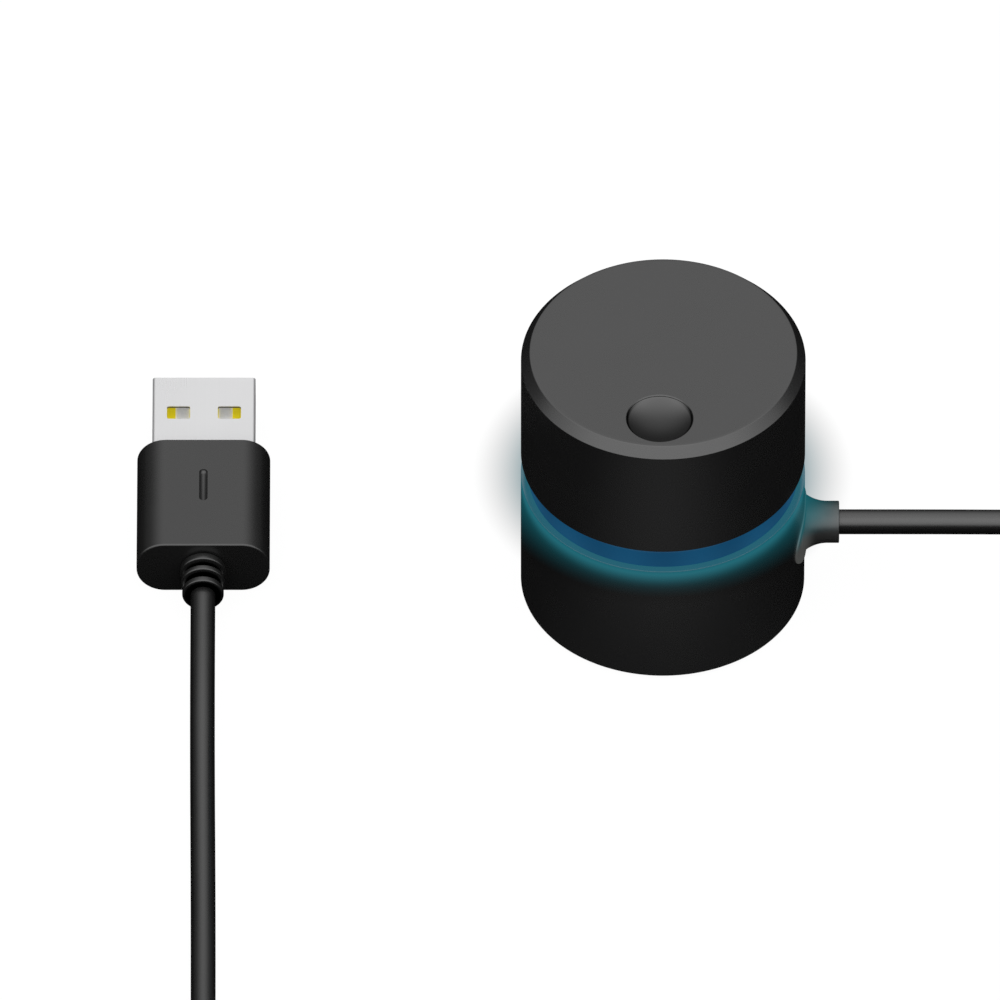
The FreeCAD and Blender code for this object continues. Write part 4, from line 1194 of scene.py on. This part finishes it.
# ---- The knob ----
@dataclass
class Knob:
    """Turned cap with a chamfered rim and a dished rest for the finger."""

    outer: float = 16.5
    inner: float = 14.9
    low: float = 20.6
    ceiling: float = 33.5
    top: float = 37.0
    chamfer_in: float = 1.0
    chamfer_down: float = 1.2
    edge_break: float = 0.25
    edge_round: float = 0.14
    dimple: Point = (-0.45, -10.9, 0.0)
    dimple_radius: float = 3.8
    dimple_rim: float = 0.12
    dimple_step: float = 0.2
    dimple_sag: float = 0.9
    dimple_steps: int = 96
    bowl_rings: int = 14
    screw_ring: float = 10.5
    screw_hole: float = 0.8
    screw_depth: float = 2.2
    screw_first: float = 90.0
    screw_steps: int = 24
    screws: int = 3

    def model(self) -> bpy.types.Object:
        """Builds the cap.

        Returns:
            The cap's object.
        """
        soft = self.edge_round
        land = self.outer - self.chamfer_in
        stock = Stock().turn([
            Corner(land - 3 * soft, self.top),
            Corner(land, self.top, soft),
            Corner(self.outer, self.top - self.chamfer_down, soft),
            Corner(self.outer, self.low + self.edge_break, soft / 2),
            Corner(self.outer - self.edge_break, self.low, soft / 2),
            Corner(self.inner, self.low, soft / 2),
            Corner(self.inner, self.ceiling, 2 * soft),
            Corner(self.inner - 4 * soft, self.ceiling),
        ], closed=False)
        self._sink_dimple(stock)
        for number in range(self.screws):
            angle = math.radians(self.screw_first + 360 * number / self.screws)
            stock.turn([
                Corner(self.screw_hole, self.ceiling),
                Corner(self.screw_hole, self.ceiling + self.screw_depth),
                Corner(0.0, self.ceiling + self.screw_depth),
            ], closed=False, steps=self.screw_steps, centre=(
                self.screw_ring * math.cos(angle), self.screw_ring * math.sin(angle), 0.0))
        for height in (self.top, self.ceiling):
            stock.cover(stock.rim(Axis.Z, height))
        return stock.finish("turned_cap")

    def _sink_dimple(self, stock: Stock) -> None:
        """Adds the finger rest: a fine rim, a short step and a spherical bowl.

        Args:
            stock: The cap in the making.
        """
        floor = self.top - self.dimple_step
        ball = (self.dimple_radius ** 2 + self.dimple_sag ** 2) / (2 * self.dimple_sag)
        reach = math.asin(self.dimple_radius / ball)
        angles = [reach * (1 - ring / self.bowl_rings) for ring in range(1, self.bowl_rings + 1)]
        stock.turn([
            Corner(self.dimple_radius + self.dimple_rim, self.top),
            Corner(self.dimple_radius, self.top - self.dimple_rim, self.dimple_rim / 2),
            Corner(self.dimple_radius, floor, self.dimple_rim / 3),
            *[Corner(ball * math.sin(angle), floor - self.dimple_sag + ball * (1 - math.cos(angle)))
              for angle in angles],
        ], closed=False, centre=self.dimple, steps=self.dimple_steps)

    def build(self, shop: Workshop) -> None:
        """Models and dresses the cap, and dresses what turns with it.

        Args:
            shop: The workshop.
        """
        shop.mount(self.model(), Body.KNOB, "anodised_black", "knob_cap")
        shop.dress("hub_plastic", "knob_hub")
        shop.dress("screw_steel", "hub_screws")
        shop.dress("nickel_brass", "encoder_shaft")


# ---- The base ----
@dataclass
class Base:
    """Shell, light guide, foot and cord relief."""

    outer: float = 16.5
    low: float = 0.4
    top: float = 17.6
    edge_break: float = 0.25
    edge_round: float = 0.12
    lit_edge: float = 0.03
    bore: float = 13.6
    foot_bore: float = 15.0
    foot_top: float = 2.4
    seat_radius: float = 15.65
    seat: float = 15.1
    guide_outer: float = 15.6
    guide_inner: float = 14.25
    skirt_outer: float = 13.5
    skirt_inner: float = 12.3
    skirt_low: float = 12.2
    guide_top: float = 19.9
    cord_height: float = 9.5
    cord_hole: float = 2.65
    hole_spare: float = 3.0
    neck: float = 2.6
    neck_in: float = 0.8
    neck_out: float = 1.0
    collar: float = 2.45
    collar_end: float = 20.5
    flare_steps: int = 20
    saddle: float = 5.95
    saddle_edge: float = 0.2
    saddle_flat: float = 0.6
    lip_thick: float = 0.22
    lip_soft: float = 0.099
    flange_wide: float = 7.8
    flange_tall: float = 5.0
    flange_inner: float = 12.0
    pad: float = 14.6
    pad_thick: float = 0.9
    pad_groove: float = 0.3
    pad_rings: tuple[float, ...] = (0.45, 0.65, 0.85)
    cord_sides: int = 96

    def _cord_lay(self) -> dict[str, Any]:
        """How a shape lies that is turned round the cord's axis."""
        return {"along": Axis.X, "centre": (0.0, 0.0, self.cord_height), "steps": self.cord_sides}

    def _rod(self, radius: float, start: float, end: float) -> Stock:
        """A plain rod round the cord's axis."""
        return Stock().rod(radius, start, end, **self._cord_lay())

    def _pillar(self, radius: float) -> Stock:
        """A tall solid pillar round the base's own axis."""
        return Stock().rod(radius, -2 * self.outer, 2 * self.outer)

    def shell(self) -> bpy.types.Object:
        """Builds the outer shell with its hole for the cord.

        Returns:
            The shell's object.
        """
        soft = self.edge_round
        stock = Stock().turn([
            Corner(self.foot_bore, self.low, soft / 2),
            Corner(self.outer - self.edge_break, self.low, soft / 2),
            Corner(self.outer, self.low + self.edge_break, soft / 2),
            Corner(self.outer, self.top, self.lit_edge),
            Corner(self.seat_radius, self.top, self.lit_edge),
            Corner(self.seat_radius, self.seat),
            Corner(self.bore, self.seat, soft / 2),
            Corner(self.bore, self.foot_top, soft / 2),
            Corner(self.foot_bore, self.foot_top),
        ])
        spare = self.hole_spare
        stock.combine(self._rod(self.cord_hole, self.bore - spare, self.outer + spare), Joinery.CUT)
        return stock.finish("outer_shell")

    def guide(self) -> bpy.types.Object:
        """Builds the light guide with the skirt that it stands on.

        Returns:
            The guide's object.
        """
        soft = self.edge_round
        return Stock().turn([
            Corner(self.skirt_inner, self.skirt_low, soft),
            Corner(self.skirt_outer, self.skirt_low, soft),
            Corner(self.skirt_outer, self.seat),
            Corner(self.guide_outer, self.seat, soft),
            Corner(self.guide_outer, self.guide_top, 2 * soft),
            Corner(self.guide_inner, self.guide_top, 2 * soft),
            Corner(self.guide_inner, self.top),
            Corner(self.skirt_inner, self.top, soft),
        ]).finish("frosted_guide")

    def foot(self) -> bpy.types.Object:
        """Builds the rubber foot with its moulded rings.

        Returns:
            The foot's object.
        """
        soft = self.edge_round
        corners = [Corner(0.0, 0.0)]
        for share in self.pad_rings:
            middle = share * self.pad
            corners += [Corner(middle - self.pad_groove, 0.0, soft / 2),
                        Corner(middle, self.pad_groove, soft),
                        Corner(middle + self.pad_groove, 0.0, soft / 2)]
        corners += [Corner(self.pad, 0.0, 2 * soft), Corner(self.pad, self.pad_thick, soft),
                    Corner(0.0, self.pad_thick)]
        return Stock().turn(corners, closed=False).finish("ringed_foot")

    def relief(self) -> bpy.types.Object:
        """Builds the soft moulding that carries the cord through the shell.

        Returns:
            The relief's object.
        """
        sweep = self.saddle - self.collar
        root = math.sqrt(self.outer ** 2 - self.saddle ** 2) + self.saddle_edge
        turns = [step * math.pi / (2 * self.flare_steps) for step in range(1, self.flare_steps)]
        flare = [Corner(self.saddle - sweep * math.sin(turn), root + sweep * (1 - math.cos(turn)))
                 for turn in turns]
        stock = Stock().turn([
            Corner(0.0, self.outer / 2),
            Corner(flare[0].out, self.outer / 2),
            *flare,
            Corner(self.collar, root + sweep),
            Corner(self.collar, self.collar_end, self.edge_round),
            Corner(0.0, self.collar_end),
        ], closed=False, **self._cord_lay())
        for vert in stock.bm.verts:
            height = vert.co.z - self.cord_height
            share = (math.hypot(vert.co.y, height) - self.collar) / sweep
            if share > 0:
                vert.co.z = self.cord_height + height * (1 - (1 - self.saddle_flat) * share)
        neck = self._rod(self.neck, self.bore - self.neck_in, self.outer + self.neck_out)
        for tool, way in ((self._lip(), Joinery.JOIN), (self._pillar(self.outer), Joinery.CUT),
                          (neck, Joinery.JOIN), (self._flange(), Joinery.JOIN)):
            stock.combine(tool, way)
        return stock.finish("flared_relief")

    def _lip(self) -> Stock:
        """The oval blank of the thin lip on which the relief's flare ends on the shell.

        Returns:
            The lip.
        """
        lip = self._rod(self.saddle, self.outer / 3, 2 * self.outer)
        lip.shrink(lip.bm.verts, (1.0, 1.0, self.saddle_flat), (0.0, 0.0, self.cord_height))
        face = self.outer + self.lip_thick
        lip.combine(self._pillar(face), Joinery.KEEP)
        outline = [edge for edge in lip.bm.edges if edge.calc_face_angle(0.0) > 2 * CREASE
                   and all(math.hypot(*vert.co.xy) > face - self.lip_soft for vert in edge.verts)]
        lip.soften(outline, self.lip_soft)
        return lip

    def _flange(self) -> Stock:
        """The relief's flange inside the shell, curved like the shell's bore.

        Returns:
            The flange.
        """
        half_wide, half_tall = self.flange_wide / 2, self.flange_tall / 2
        ends = (self.cord_height - half_tall, self.cord_height + half_tall)
        flange = Stock().turn([Corner(self.flange_inner, ends[0]), Corner(self.bore, ends[0]),
                               Corner(self.bore, ends[1]), Corner(self.flange_inner, ends[1])])
        part = Stock().block((self.flange_inner / 2, -half_wide, 0.0),
                             (self.outer, half_wide, self.top))
        flange.combine(part, Joinery.KEEP)
        return flange

    def build(self, shop: Workshop) -> bpy.types.Object:
        """Models and dresses the base.

        Args:
            shop: The workshop.

        Returns:
            The relief.
        """
        shop.mount(self.shell(), Body.BASE, "anodised_black", "base_shell", finish="lit_black")
        shop.mount(self.guide(), Body.BASE, "light_guide", "light_ring")
        shop.mount(self.foot(), Body.BASE, "foot_rubber", "foot_pad")
        return shop.mount(self.relief(), Body.BASE, "relief_grey", "strain_relief")


@dataclass
class Works:
    """The pieces inside, which keep the frame's own shapes."""

    nodes: Mapping[str, tuple[str, ...]] = field(default_factory=lambda: {
        "hub_plastic": ("encoder_rotor",),
        "frame_plastic": ("chassis", "bottom_cover"),
        "case_plastic": ("encoder_case",),
        "white_plastic": ("cable_socket", "cable_housing", "plug_insulator"),
        "steel": ("base_weight", "encoder_washer", "detent_spring", "switch_dome"),
        "nickel_brass": ("encoder_bushing", "encoder_pins", "encoder_nut"),
        "screw_steel": ("board_screws", "cover_screws"),
        "board_green": ("main_board",),
        "lamp": ("leds",),
        "chip_black": ("controller_chip",),
        "part_tan": ("board_parts",),
        "contact_gold": ("plug_contacts",),
        **{f"wire_{name}": (f"wire_{name}",) for name in WIRES},
    })

    def build(self, shop: Workshop) -> None:
        """Dresses every inner piece."""
        for slot, nodes in self.nodes.items():
            shop.dress(slot, *nodes)


# ---- The cord, its coil and the tie ----
@dataclass
class Coil:
    """The put-away length: turns laid beside and on each other, three wide and four high."""

    centre: Point = (0.019, -0.107, 0.0)
    inner: float = 0.01405
    pitch: float = 0.00295
    floor: float = 0.0015
    rise: float = 0.00292
    wide: int = 3
    high: int = 4
    start: float = -26.0
    end: float = -90.0
    rounds: int = 11
    points_per_turn: int = 16
    spline_shrink: float = 0.981
    crossing: float = 0.3
    tie_angle: float = 180.0
    tie_half: float = 20.0
    tie_fade: float = 26.0
    tie_lift: float = 0.0007

    def _cell(self, number: int) -> tuple[float, float]:
        """The radius and height of one cell of the winding.

        Args:
            number: The cell, counted along the cord.

        Returns:
            Its radius and height in metres.
        """
        row, place = divmod(number, self.wide)
        column = self.wide - 1 - place if row % 2 == 0 else place
        return self.inner + column * self.pitch, self.floor + row * self.rise

    def _lift(self, angle: float) -> float:
        """How far the turns rise over the tie at a position angle, in metres."""
        off = abs((angle - self.tie_angle + 180) % 360 - 180)
        return self.tie_lift * (1 - ease((off - self.tie_half) / self.tie_fade))

    def points(self) -> list[Point]:
        """Control points of the winding.

        Returns:
            The points from the knob's side to the plug's side, without the two end points.
        """
        sweep = self.start - self.end + 360 * self.rounds
        count = round(sweep / 360 * self.points_per_turn)
        last = self.wide * self.high - 1
        route = []
        for number in range(1, count):
            angle = self.start - sweep * number / count
            place = last * number / count
            cell = min(int(place), last - 1)
            share = ease((place - cell - 0.5) / self.crossing + 0.5)
            (radius_a, height_a), (radius_b, height_b) = self._cell(cell), self._cell(cell + 1)
            radius = (radius_a + (radius_b - radius_a) * share) / self.spline_shrink
            height = height_a + (height_b - height_a) * share + self._lift(angle)
            turn = math.radians(angle)
            route.append((self.centre[0] + radius * math.cos(turn),
                          self.centre[1] + radius * math.sin(turn), height))
        return route


@dataclass
class Cord:
    """The cord from the base's relief through its coil to the plug."""

    knob_run: tuple[Point, ...] = (
        (0.0205, 0.0, 0.0095),
        (0.033, 0.0, 0.0095),
        (0.0455, -0.0001, 0.0095),
        (0.0535, -0.0045, 0.007),
        (0.0595, -0.0145, 0.0039),
        (0.0618, -0.029, 0.0015),
        (0.0603, -0.048, 0.0015),
        (0.0555, -0.0705, 0.0015),
        (0.0474, -0.0942, 0.0015),
        (0.03693, -0.11575, 0.0015),
    )
    plug_run: tuple[Point, ...] = (
        (0.019, -0.12695, 0.01026),
        (0.004, -0.1273, 0.0098),
        (-0.011, -0.127, 0.007),
        (-0.027, -0.1245, 0.0032),
        (-0.041, -0.117, 0.0015),
        (-0.05, -0.1035, 0.0015),
        (-0.0531, -0.086, 0.0015),
        (-0.0532, -0.056, 0.0015),
        (-0.0534, -0.034, 0.0023),
        (-0.05345, -0.0185, 0.00375),
        (-0.05345, -0.0061, 0.00375),
    )
    coil: Coil = field(default_factory=Coil)
    diameter: float = 0.0029
    length: float = 1.5
    round_steps: int = 10
    long_steps: int = 4

    def model(self) -> bpy.types.Object:
        """Lays the cord on one smooth spline, which the knob's gloss doesn't mirror.

        Returns:
            The cord's curve object.
        """
        points = [*self.knob_run, *self.coil.points(), *self.plug_run]
        curve = bpy.data.curves.new("usb_cord", "CURVE")
        curve.dimensions = "3D"
        curve.bevel_depth = self.diameter / 2
        curve.bevel_resolution = self.round_steps
        curve.resolution_u = self.long_steps
        curve.use_fill_caps = True
        spline = curve.splines.new("NURBS")
        spline.points.add(len(points) - 1)
        for control, point in zip(spline.points, points):
            control.co = (*point, 1.0)
        spline.order_u = 3
        spline.use_endpoint_u = True
        cord = new_object("usb_cord", curve)
        cord.visible_glossy = False
        return cord

    def build(self, shop: Workshop) -> bpy.types.Object:
        """Models, dresses and mounts the cord."""
        return shop.mount(self.model(), Body.BASE, "cord_black",
                          "cord_knob_run", "cord_coil", "cord_plug_run")


@dataclass
class Tie:
    """Fabric strap passed once round the coil's turns."""

    left: float = -3.15
    right: float = 7.85
    back: float = -111.0
    wide: float = 8.0
    top: float = 13.15
    thick: float = 0.7
    rounding: float = 1.4
    selvedge: float = 0.16
    selvedge_angle: float = 80.0

    def model(self) -> bpy.types.Object:
        """Builds the strap.

        Returns:
            The strap's object.
        """
        stock = Stock()
        middle = ((self.left + self.right) / 2, self.back, self.top / 2)
        size = (self.right - self.left, self.top)
        hollow = [side - 2 * self.thick for side in size]
        stock.sleeve((*size, self.rounding), (*hollow, self.rounding / 2), middle, self.wide)
        sharp = math.radians(self.selvedge_angle)
        edges = [edge for edge in stock.bm.edges if edge.calc_face_angle(0.0) > sharp]
        stock.soften(edges, self.selvedge)
        piece = stock.finish("woven_strap")
        self._unroll(piece)
        return piece

    def _unroll(self, piece: bpy.types.Object) -> None:
        """Writes a UV map in millimetres: round the strap and across it.

        Args:
            piece: The strap's object.
        """
        layer = piece.data.uv_layers.new(name="weave")
        centre_x = (self.left + self.right) / 2 * MM
        centre_z = self.top / 2 * MM
        for loop in piece.data.loops:
            co = piece.data.vertices[loop.vertex_index].co
            off_x = abs(co.x - centre_x) / (self.right - self.left)
            side = off_x > abs(co.z - centre_z) / self.top
            layer.data[loop.index].uv = ((co.z if side else co.x) / MM, co.y / MM)

    def build(self, shop: Workshop) -> bpy.types.Object:
        """Models, dresses and mounts the strap."""
        return shop.mount(self.model(), Body.BASE, "tie_fabric", "cord_tie")


# ---- The plug ----
@dataclass
class Plug:
    """USB-A plug that lies on the desk with its tip towards +Y."""

    x: float = -53.45
    z: float = 3.75
    rear: float = -1.8
    grip_wide: float = 15.5
    grip_thick: float = 7.5
    grip_long: float = 17.6
    grip_round: float = 3.4
    grip_edge: float = 0.22
    grip_edge_steps: tuple[Range, ...] = (
        (0.0, 1.0), (0.12, 0.62), (0.38, 0.28), (0.7, 0.08), (1.0, 0.0))
    grip_corner_steps: int = 14
    boot_core: float = 1.62
    boot_steps: int = 72
    ring_crests: tuple[float, ...] = (2.67, 2.56, 2.42)
    ring_starts: tuple[float, ...] = (0.04, 1.93, 3.65)
    ring_widths: tuple[float, ...] = (1.16, 0.88, 0.95)
    ring_bevel: float = 0.12
    ring_round: float = 0.17
    web_wide: float = 0.8
    web_short: float = 0.04
    web_root: float = 1.377
    web_edge: float = 0.08
    mark_radius: float = 0.5
    mark_long: float = 5.2
    mark_deep: float = 0.42
    mark_middle: float = 10.0
    mark_steps: int = 8
    tip_wide: float = 12.0
    tip_thick: float = 4.5
    tip_wall: float = 0.3
    tip_round: float = 0.34
    tip_rear: float = 9.2
    tip_end: float = 27.55
    window_x: float = 2.97
    window_wide: float = 2.7
    window_low: float = 20.7
    window_high: float = 22.8
    window_round: float = 0.25
    seam_wide: float = 0.1
    seam_deep: float = 0.15
    seam_spare: float = 1.0

    def _at(self, y: float) -> Point:
        """A point on the plug's axis."""
        return (self.x, y, self.z)

    def grip(self) -> bpy.types.Object:
        """Builds the soft grip with its ribbed boot.

        Returns:
            The grip's object.
        """
        stock = Stock()
        edge, front = self.grip_edge, self.rear + self.grip_long
        steps = [(edge * ahead, edge * inward) for ahead, inward in self.grip_edge_steps]
        sections = [(self.rear + ahead, inward) for ahead, inward in steps]
        sections += [(front - ahead, inward) for ahead, inward in reversed(steps)]
        sides = (self.grip_wide, self.grip_thick)
        wall = stock.loop(*[side - 2 * edge for side in sides], self.grip_round - edge,
                          self._at(self.rear), self.grip_corner_steps)
        place, inset = sections[0]
        for y, inward in sections[1:]:
            wall = stock.draw_out(wall, (0.0, y - place, 0.0))
            across, up = [(side - 2 * inward) / (side - 2 * inset) for side in sides]
            stock.shrink(ends_of(wall), (across, 1.0, up), self._at(y))
            place, inset = y, inward
        pocket = stock.loop(self.tip_wide, self.tip_thick, self.tip_round, self._at(front))
        stock.cover([*wall, *pocket])
        stock.cover(stock.draw_out(pocket, (0.0, self.tip_rear - front, 0.0)))
        self._boot(stock)
        stock.cover(stock.rim(Axis.Y, self.rear))
        self._webs(stock)
        self._mark(stock)
        return stock.finish("ribbed_grip")

    def _boot(self, stock: Stock) -> None:
        """Turns the boot: a core with three rings.

        Args:
            stock: The grip in the making.
        """
        core = self.boot_core
        boot = [Corner(core, 0.0)]
        for start, wide, crest in zip(self.ring_starts, self.ring_widths, self.ring_crests):
            boot += [
                Corner(core, -start),
                Corner(crest, -start - self.ring_bevel, self.ring_round),
                Corner(crest, -start - wide + self.ring_bevel / 2, self.ring_round),
                Corner(core, -start - wide),
            ]
        boot += [Corner(0.0, boot[-1].along)]
        stock.turn(boot, closed=False, along=Axis.Y, centre=self._at(self.rear),
                   steps=self.boot_steps)

    def _webs(self, stock: Stock) -> None:
        """Joins the boot's rings with a short web on each side.

        Args:
            stock: The grip in the making.
        """
        first, *_, last = [self.rear - start - wide / 2
                           for start, wide in zip(self.ring_starts, self.ring_widths)]
        half = self.web_wide / 2
        reach = self.ring_crests[-1] - self.web_short
        for near, far in ((-reach, -self.web_root), (self.web_root, reach)):
            web = Stock().block((self.x + near, last, self.z - half),
                                (self.x + far, first, self.z + half), self.web_edge)
            stock.combine(web, Joinery.JOIN)

    def _mark(self, stock: Stock) -> None:
        """Sinks a plain round-ended groove, which tells the upper side, into the grip.

        Args:
            stock: The grip in the making.
        """
        radius = self.mark_radius
        half = self.mark_long / 2 - radius
        turns = [step * math.pi / (2 * self.mark_steps) for step in range(1, self.mark_steps)]
        above = self.z + self.grip_thick / 2 + radius - self.mark_deep
        tool = Stock().turn([
            Corner(0.0, -half - radius),
            *[Corner(radius * math.sin(turn), -half - radius * math.cos(turn)) for turn in turns],
            Corner(radius, -half), Corner(radius, half),
            *[Corner(radius * math.cos(turn), half + radius * math.sin(turn)) for turn in turns],
            Corner(0.0, half + radius),
        ], closed=False, along=Axis.Y, steps=4 * self.mark_steps,
            centre=(self.x, self.rear + self.mark_middle, above))
        stock.combine(tool, Joinery.CUT)

    def tip(self) -> bpy.types.Object:
        """Builds the folded metal shell with its windows and its seam underneath.

        Returns:
            The shell's object.
        """
        stock = Stock()
        wall, thick = self.tip_wall, self.tip_thick
        stock.sleeve((self.tip_wide, thick, self.tip_round),
                     (self.tip_wide - 2 * wall, thick - 2 * wall, self.tip_round - wall),
                     self._at(self.tip_rear), self.tip_end - self.tip_rear)
        for middle in (self.x - self.window_x, self.x + self.window_x):
            window = Stock().block(
                (middle - self.window_wide / 2, self.window_low, self.z - thick),
                (middle + self.window_wide / 2, self.window_high, self.z + thick),
                self.window_round)
            stock.combine(window, Joinery.CUT)
        half, spare = self.seam_wide / 2, self.seam_spare
        seam = Stock().block(
            (self.x - half, self.tip_rear - spare, self.z - thick),
            (self.x + half, self.tip_end + spare, self.z - thick / 2 + self.seam_deep))
        stock.combine(seam, Joinery.CUT)
        return stock.finish("folded_tip")

    def build(self, shop: Workshop) -> list[bpy.types.Object]:
        """Models and mounts the plug's outer pieces.

        Args:
            shop: The workshop.

        Returns:
            The pieces on the cord's end, the frame's own among them.
        """
        grip = shop.mount(self.grip(), Body.BASE, "cord_black", "plug_overmould",
                          finish="grip_black")
        tip = shop.mount(self.tip(), Body.BASE, "shell_nickel", "plug_shell")
        nodes = shop.frame["nodes"]
        return [grip, tip, nodes["plug_insulator"], nodes["plug_contacts"]]


# ---- The studio ----
@dataclass(frozen=True)
class Softbox:
    """A rectangular lamp that faces the object."""

    name: str
    azimuth: float
    elevation: float
    width: float
    height: float
    radiance: float
    distance: float = 1.0


@dataclass
class Studio:
    """Camera, desk, lamp and surroundings."""

    target: Point = (-0.01892, 0.0, 0.01305)
    elevation: float = 44.5
    frame_width: float = 0.1162
    lens: float = 1700.0
    sensor: float = 36.0
    clip: Range = (0.1, 20.0)
    softbox: Softbox = Softbox("front_top", 0.0, 60.0, 0.8, 0.7, 0.25)
    front_rise: Range = (0.0, 30.5)
    front_fall: Range = (79.0, 160.5)
    back_fall: Range = (114.5, 186.0)
    front_side: Range = (0.66, 1.26)
    back_side: Range = (0.0, 0.68)
    front_level: float = 1.42
    back_level: float = 0.78
    dim_level: float = 0.08
    desk_size: float = 6000.0
    desk_albedo: float = 0.004
    desk_shade: float = 0.05
    desk_fill: float = 0.96
    # A painted pool of light on the desk, which only reflections see.
    pool_gloss: float = 0.11
    pool_centre: Point = (0.0, -48.0, 0.0)
    pool_radius: float = 49.0
    # A flat ring in the air round the gap, with the lamps' glow painted on it.
    haze_height: float = 17.45
    haze_inner: float = 16.4
    haze_start: float = 16.5
    haze_outer: float = 22.3
    haze_alpha: float = 0.62
    haze_fall: float = 1.4
    haze_lit: float = 4.2
    haze_colour: Colour = (0.009, 0.14, 0.175)

    def _aim(self, thing: bpy.types.Object, azimuth: float, elevation: float,
             distance: float) -> None:
        """Hangs a camera or a lamp so that it faces the object.

        Args:
            thing: The camera or the lamp.
            azimuth: 0 in front, 90 at the right, in degrees.
            elevation: Above the desk, in degrees.
            distance: From the middle of the view, in metres.
        """
        around, up = math.radians(azimuth), math.radians(elevation)
        away = Vector((math.sin(around) * math.cos(up), -math.cos(around) * math.cos(up),
                       math.sin(up)))
        thing.location = Vector(self.target) + away * distance
        thing.rotation_euler = (-away).to_track_quat("-Z", "Y").to_euler()

    def camera(self) -> None:
        """Sets up the long-lens camera."""
        data = bpy.data.cameras.new("camera")
        data.lens = self.lens
        data.sensor_width = self.sensor
        data.clip_start, data.clip_end = self.clip
        camera = new_object("camera", data)
        self._aim(camera, 0.0, self.elevation, self.frame_width * self.lens / self.sensor)
        bpy.context.scene.camera = camera
        bpy.context.scene.view_settings.view_transform = "Standard"

    def lamp(self) -> None:
        """Hangs the softbox."""
        box = self.softbox
        data = bpy.data.lights.new(box.name, "AREA")
        data.shape = "RECTANGLE"
        data.size = box.width
        data.size_y = box.height
        data.energy = box.radiance * math.pi * box.width * box.height
        lamp = new_object(box.name, data)
        self._aim(lamp, box.azimuth, box.elevation, box.distance)
        lamp.visible_camera = False

    def surroundings(self) -> None:
        """Gives the world a soft gradient from front to back, and shows the camera white."""
        world = bpy.context.scene.world or bpy.data.worlds.new("surroundings")
        bpy.context.scene.world = world
        shader = Shader(world)
        x, y, z = shader.split(shader.add("ShaderNodeTexCoord").outputs["Generated"])
        arc = z.heading(y * -1.0) * (180 / math.pi)
        front = arc.rise(*self.front_rise) * (1 - arc.rise(*self.front_fall))
        back = arc.rise(*self.front_fall) * (1 - arc.rise(*self.back_fall))
        aside = x.size()
        front = front * (1 - aside.rise(*self.front_side)) * self.front_level
        back = back * (1 - aside.rise(*self.back_side)) * self.back_level
        straight, through = shader.rays("Camera", "Transmission")
        plain = (straight + through).least(1.0)
        strength = plain + (1 - plain) * (front + back + self.dim_level)
        shader.end(shader.add("ShaderNodeBackground", {"Color": WHITE, "Strength": strength}))

    def desk(self) -> None:
        """Lays the pale desk, which the lens sees as white, which keeps the shadow, and which shows
        reflections a painted pool of light in front of the object.
        """
        stock = Stock()
        bmesh.ops.create_grid(stock.bm, x_segments=1, y_segments=1, size=self.desk_size / 2)
        shader = new_shader("desk_white")
        x, y, _ = shader.axes(self.pool_centre)
        # Painted reflection: a round pool of light in front of the object that only glossy rays
        # see.
        painted_pool = 1 - (x.away(y) / self.pool_radius).rise(0.0, 1.0)
        straight, mirrored, through = shader.rays("Camera", "Glossy", "Transmission")
        share = (straight + self.pool_gloss * painted_pool * mirrored + through).least(1.0)
        albedo = shader.tone(WHITE, self.desk_albedo + self.desk_shade * straight)
        matt = shader.add("ShaderNodeBsdfDiffuse", {"Color": albedo})
        fill = shader.add("ShaderNodeEmission", {
            "Color": WHITE, "Strength": share * self.desk_fill})
        both = shader.add("ShaderNodeAddShader", {0: matt.outputs[0], 1: fill.outputs[0]})
        self._stage(stock.finish("desk"), shader.end(both))

    def haze(self) -> None:
        """Hangs a flat ring round the gap with the lamps' soft light painted on it as a glow in the
        air.
        """
        stock = Stock().turn([Corner(self.haze_inner, self.haze_height),
                              Corner(self.haze_outer, self.haze_height)], closed=False)
        shader = new_shader("glow_in_air")
        x, y, _ = shader.axes()
        past = x.away(y) - self.haze_start
        inwards = 1 - past / (self.haze_outer - self.haze_start)
        strength = inwards.most(0.0).least(1.0) ** self.haze_fall * self.haze_alpha
        clear = shader.add("ShaderNodeBsdfTransparent")
        colour = shader.tone(self.haze_colour, (1 - past / self.haze_lit).most(0.0))
        lit = shader.add("ShaderNodeEmission", {"Color": colour, "Strength": 1.0})
        mixed = shader.add("ShaderNodeMixShader", {
            0: strength, 1: clear.outputs[0], 2: lit.outputs[0]})
        ring = stock.finish("glow_haze")
        ring.visible_shadow = ring.visible_diffuse = ring.visible_glossy = False
        self._stage(ring, shader.end(mixed))

    def _stage(self, piece: bpy.types.Object, material: bpy.types.Material) -> None:
        """Dresses a piece of the studio."""
        piece.data.materials.append(material)

    def build(self) -> None:
        """Sets up the whole studio."""
        self.camera()
        self.lamp()
        self.surroundings()
        self.desk()
        self.haze()


def main() -> None:
    """Builds the studio and the object."""
    logging.basicConfig(level=logging.INFO, format="%(message)s")
    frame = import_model()
    shop = Workshop(frame, Palette().materials())
    Studio().build()
    cord = Cord()
    line = cord.build(shop)
    tie = Tie().build(shop)
    plug = Plug().build(shop)
    relief = Base().build(shop)
    Works().build(shop)
    Knob().build(shop)


if __name__ == "__main__":
    main()
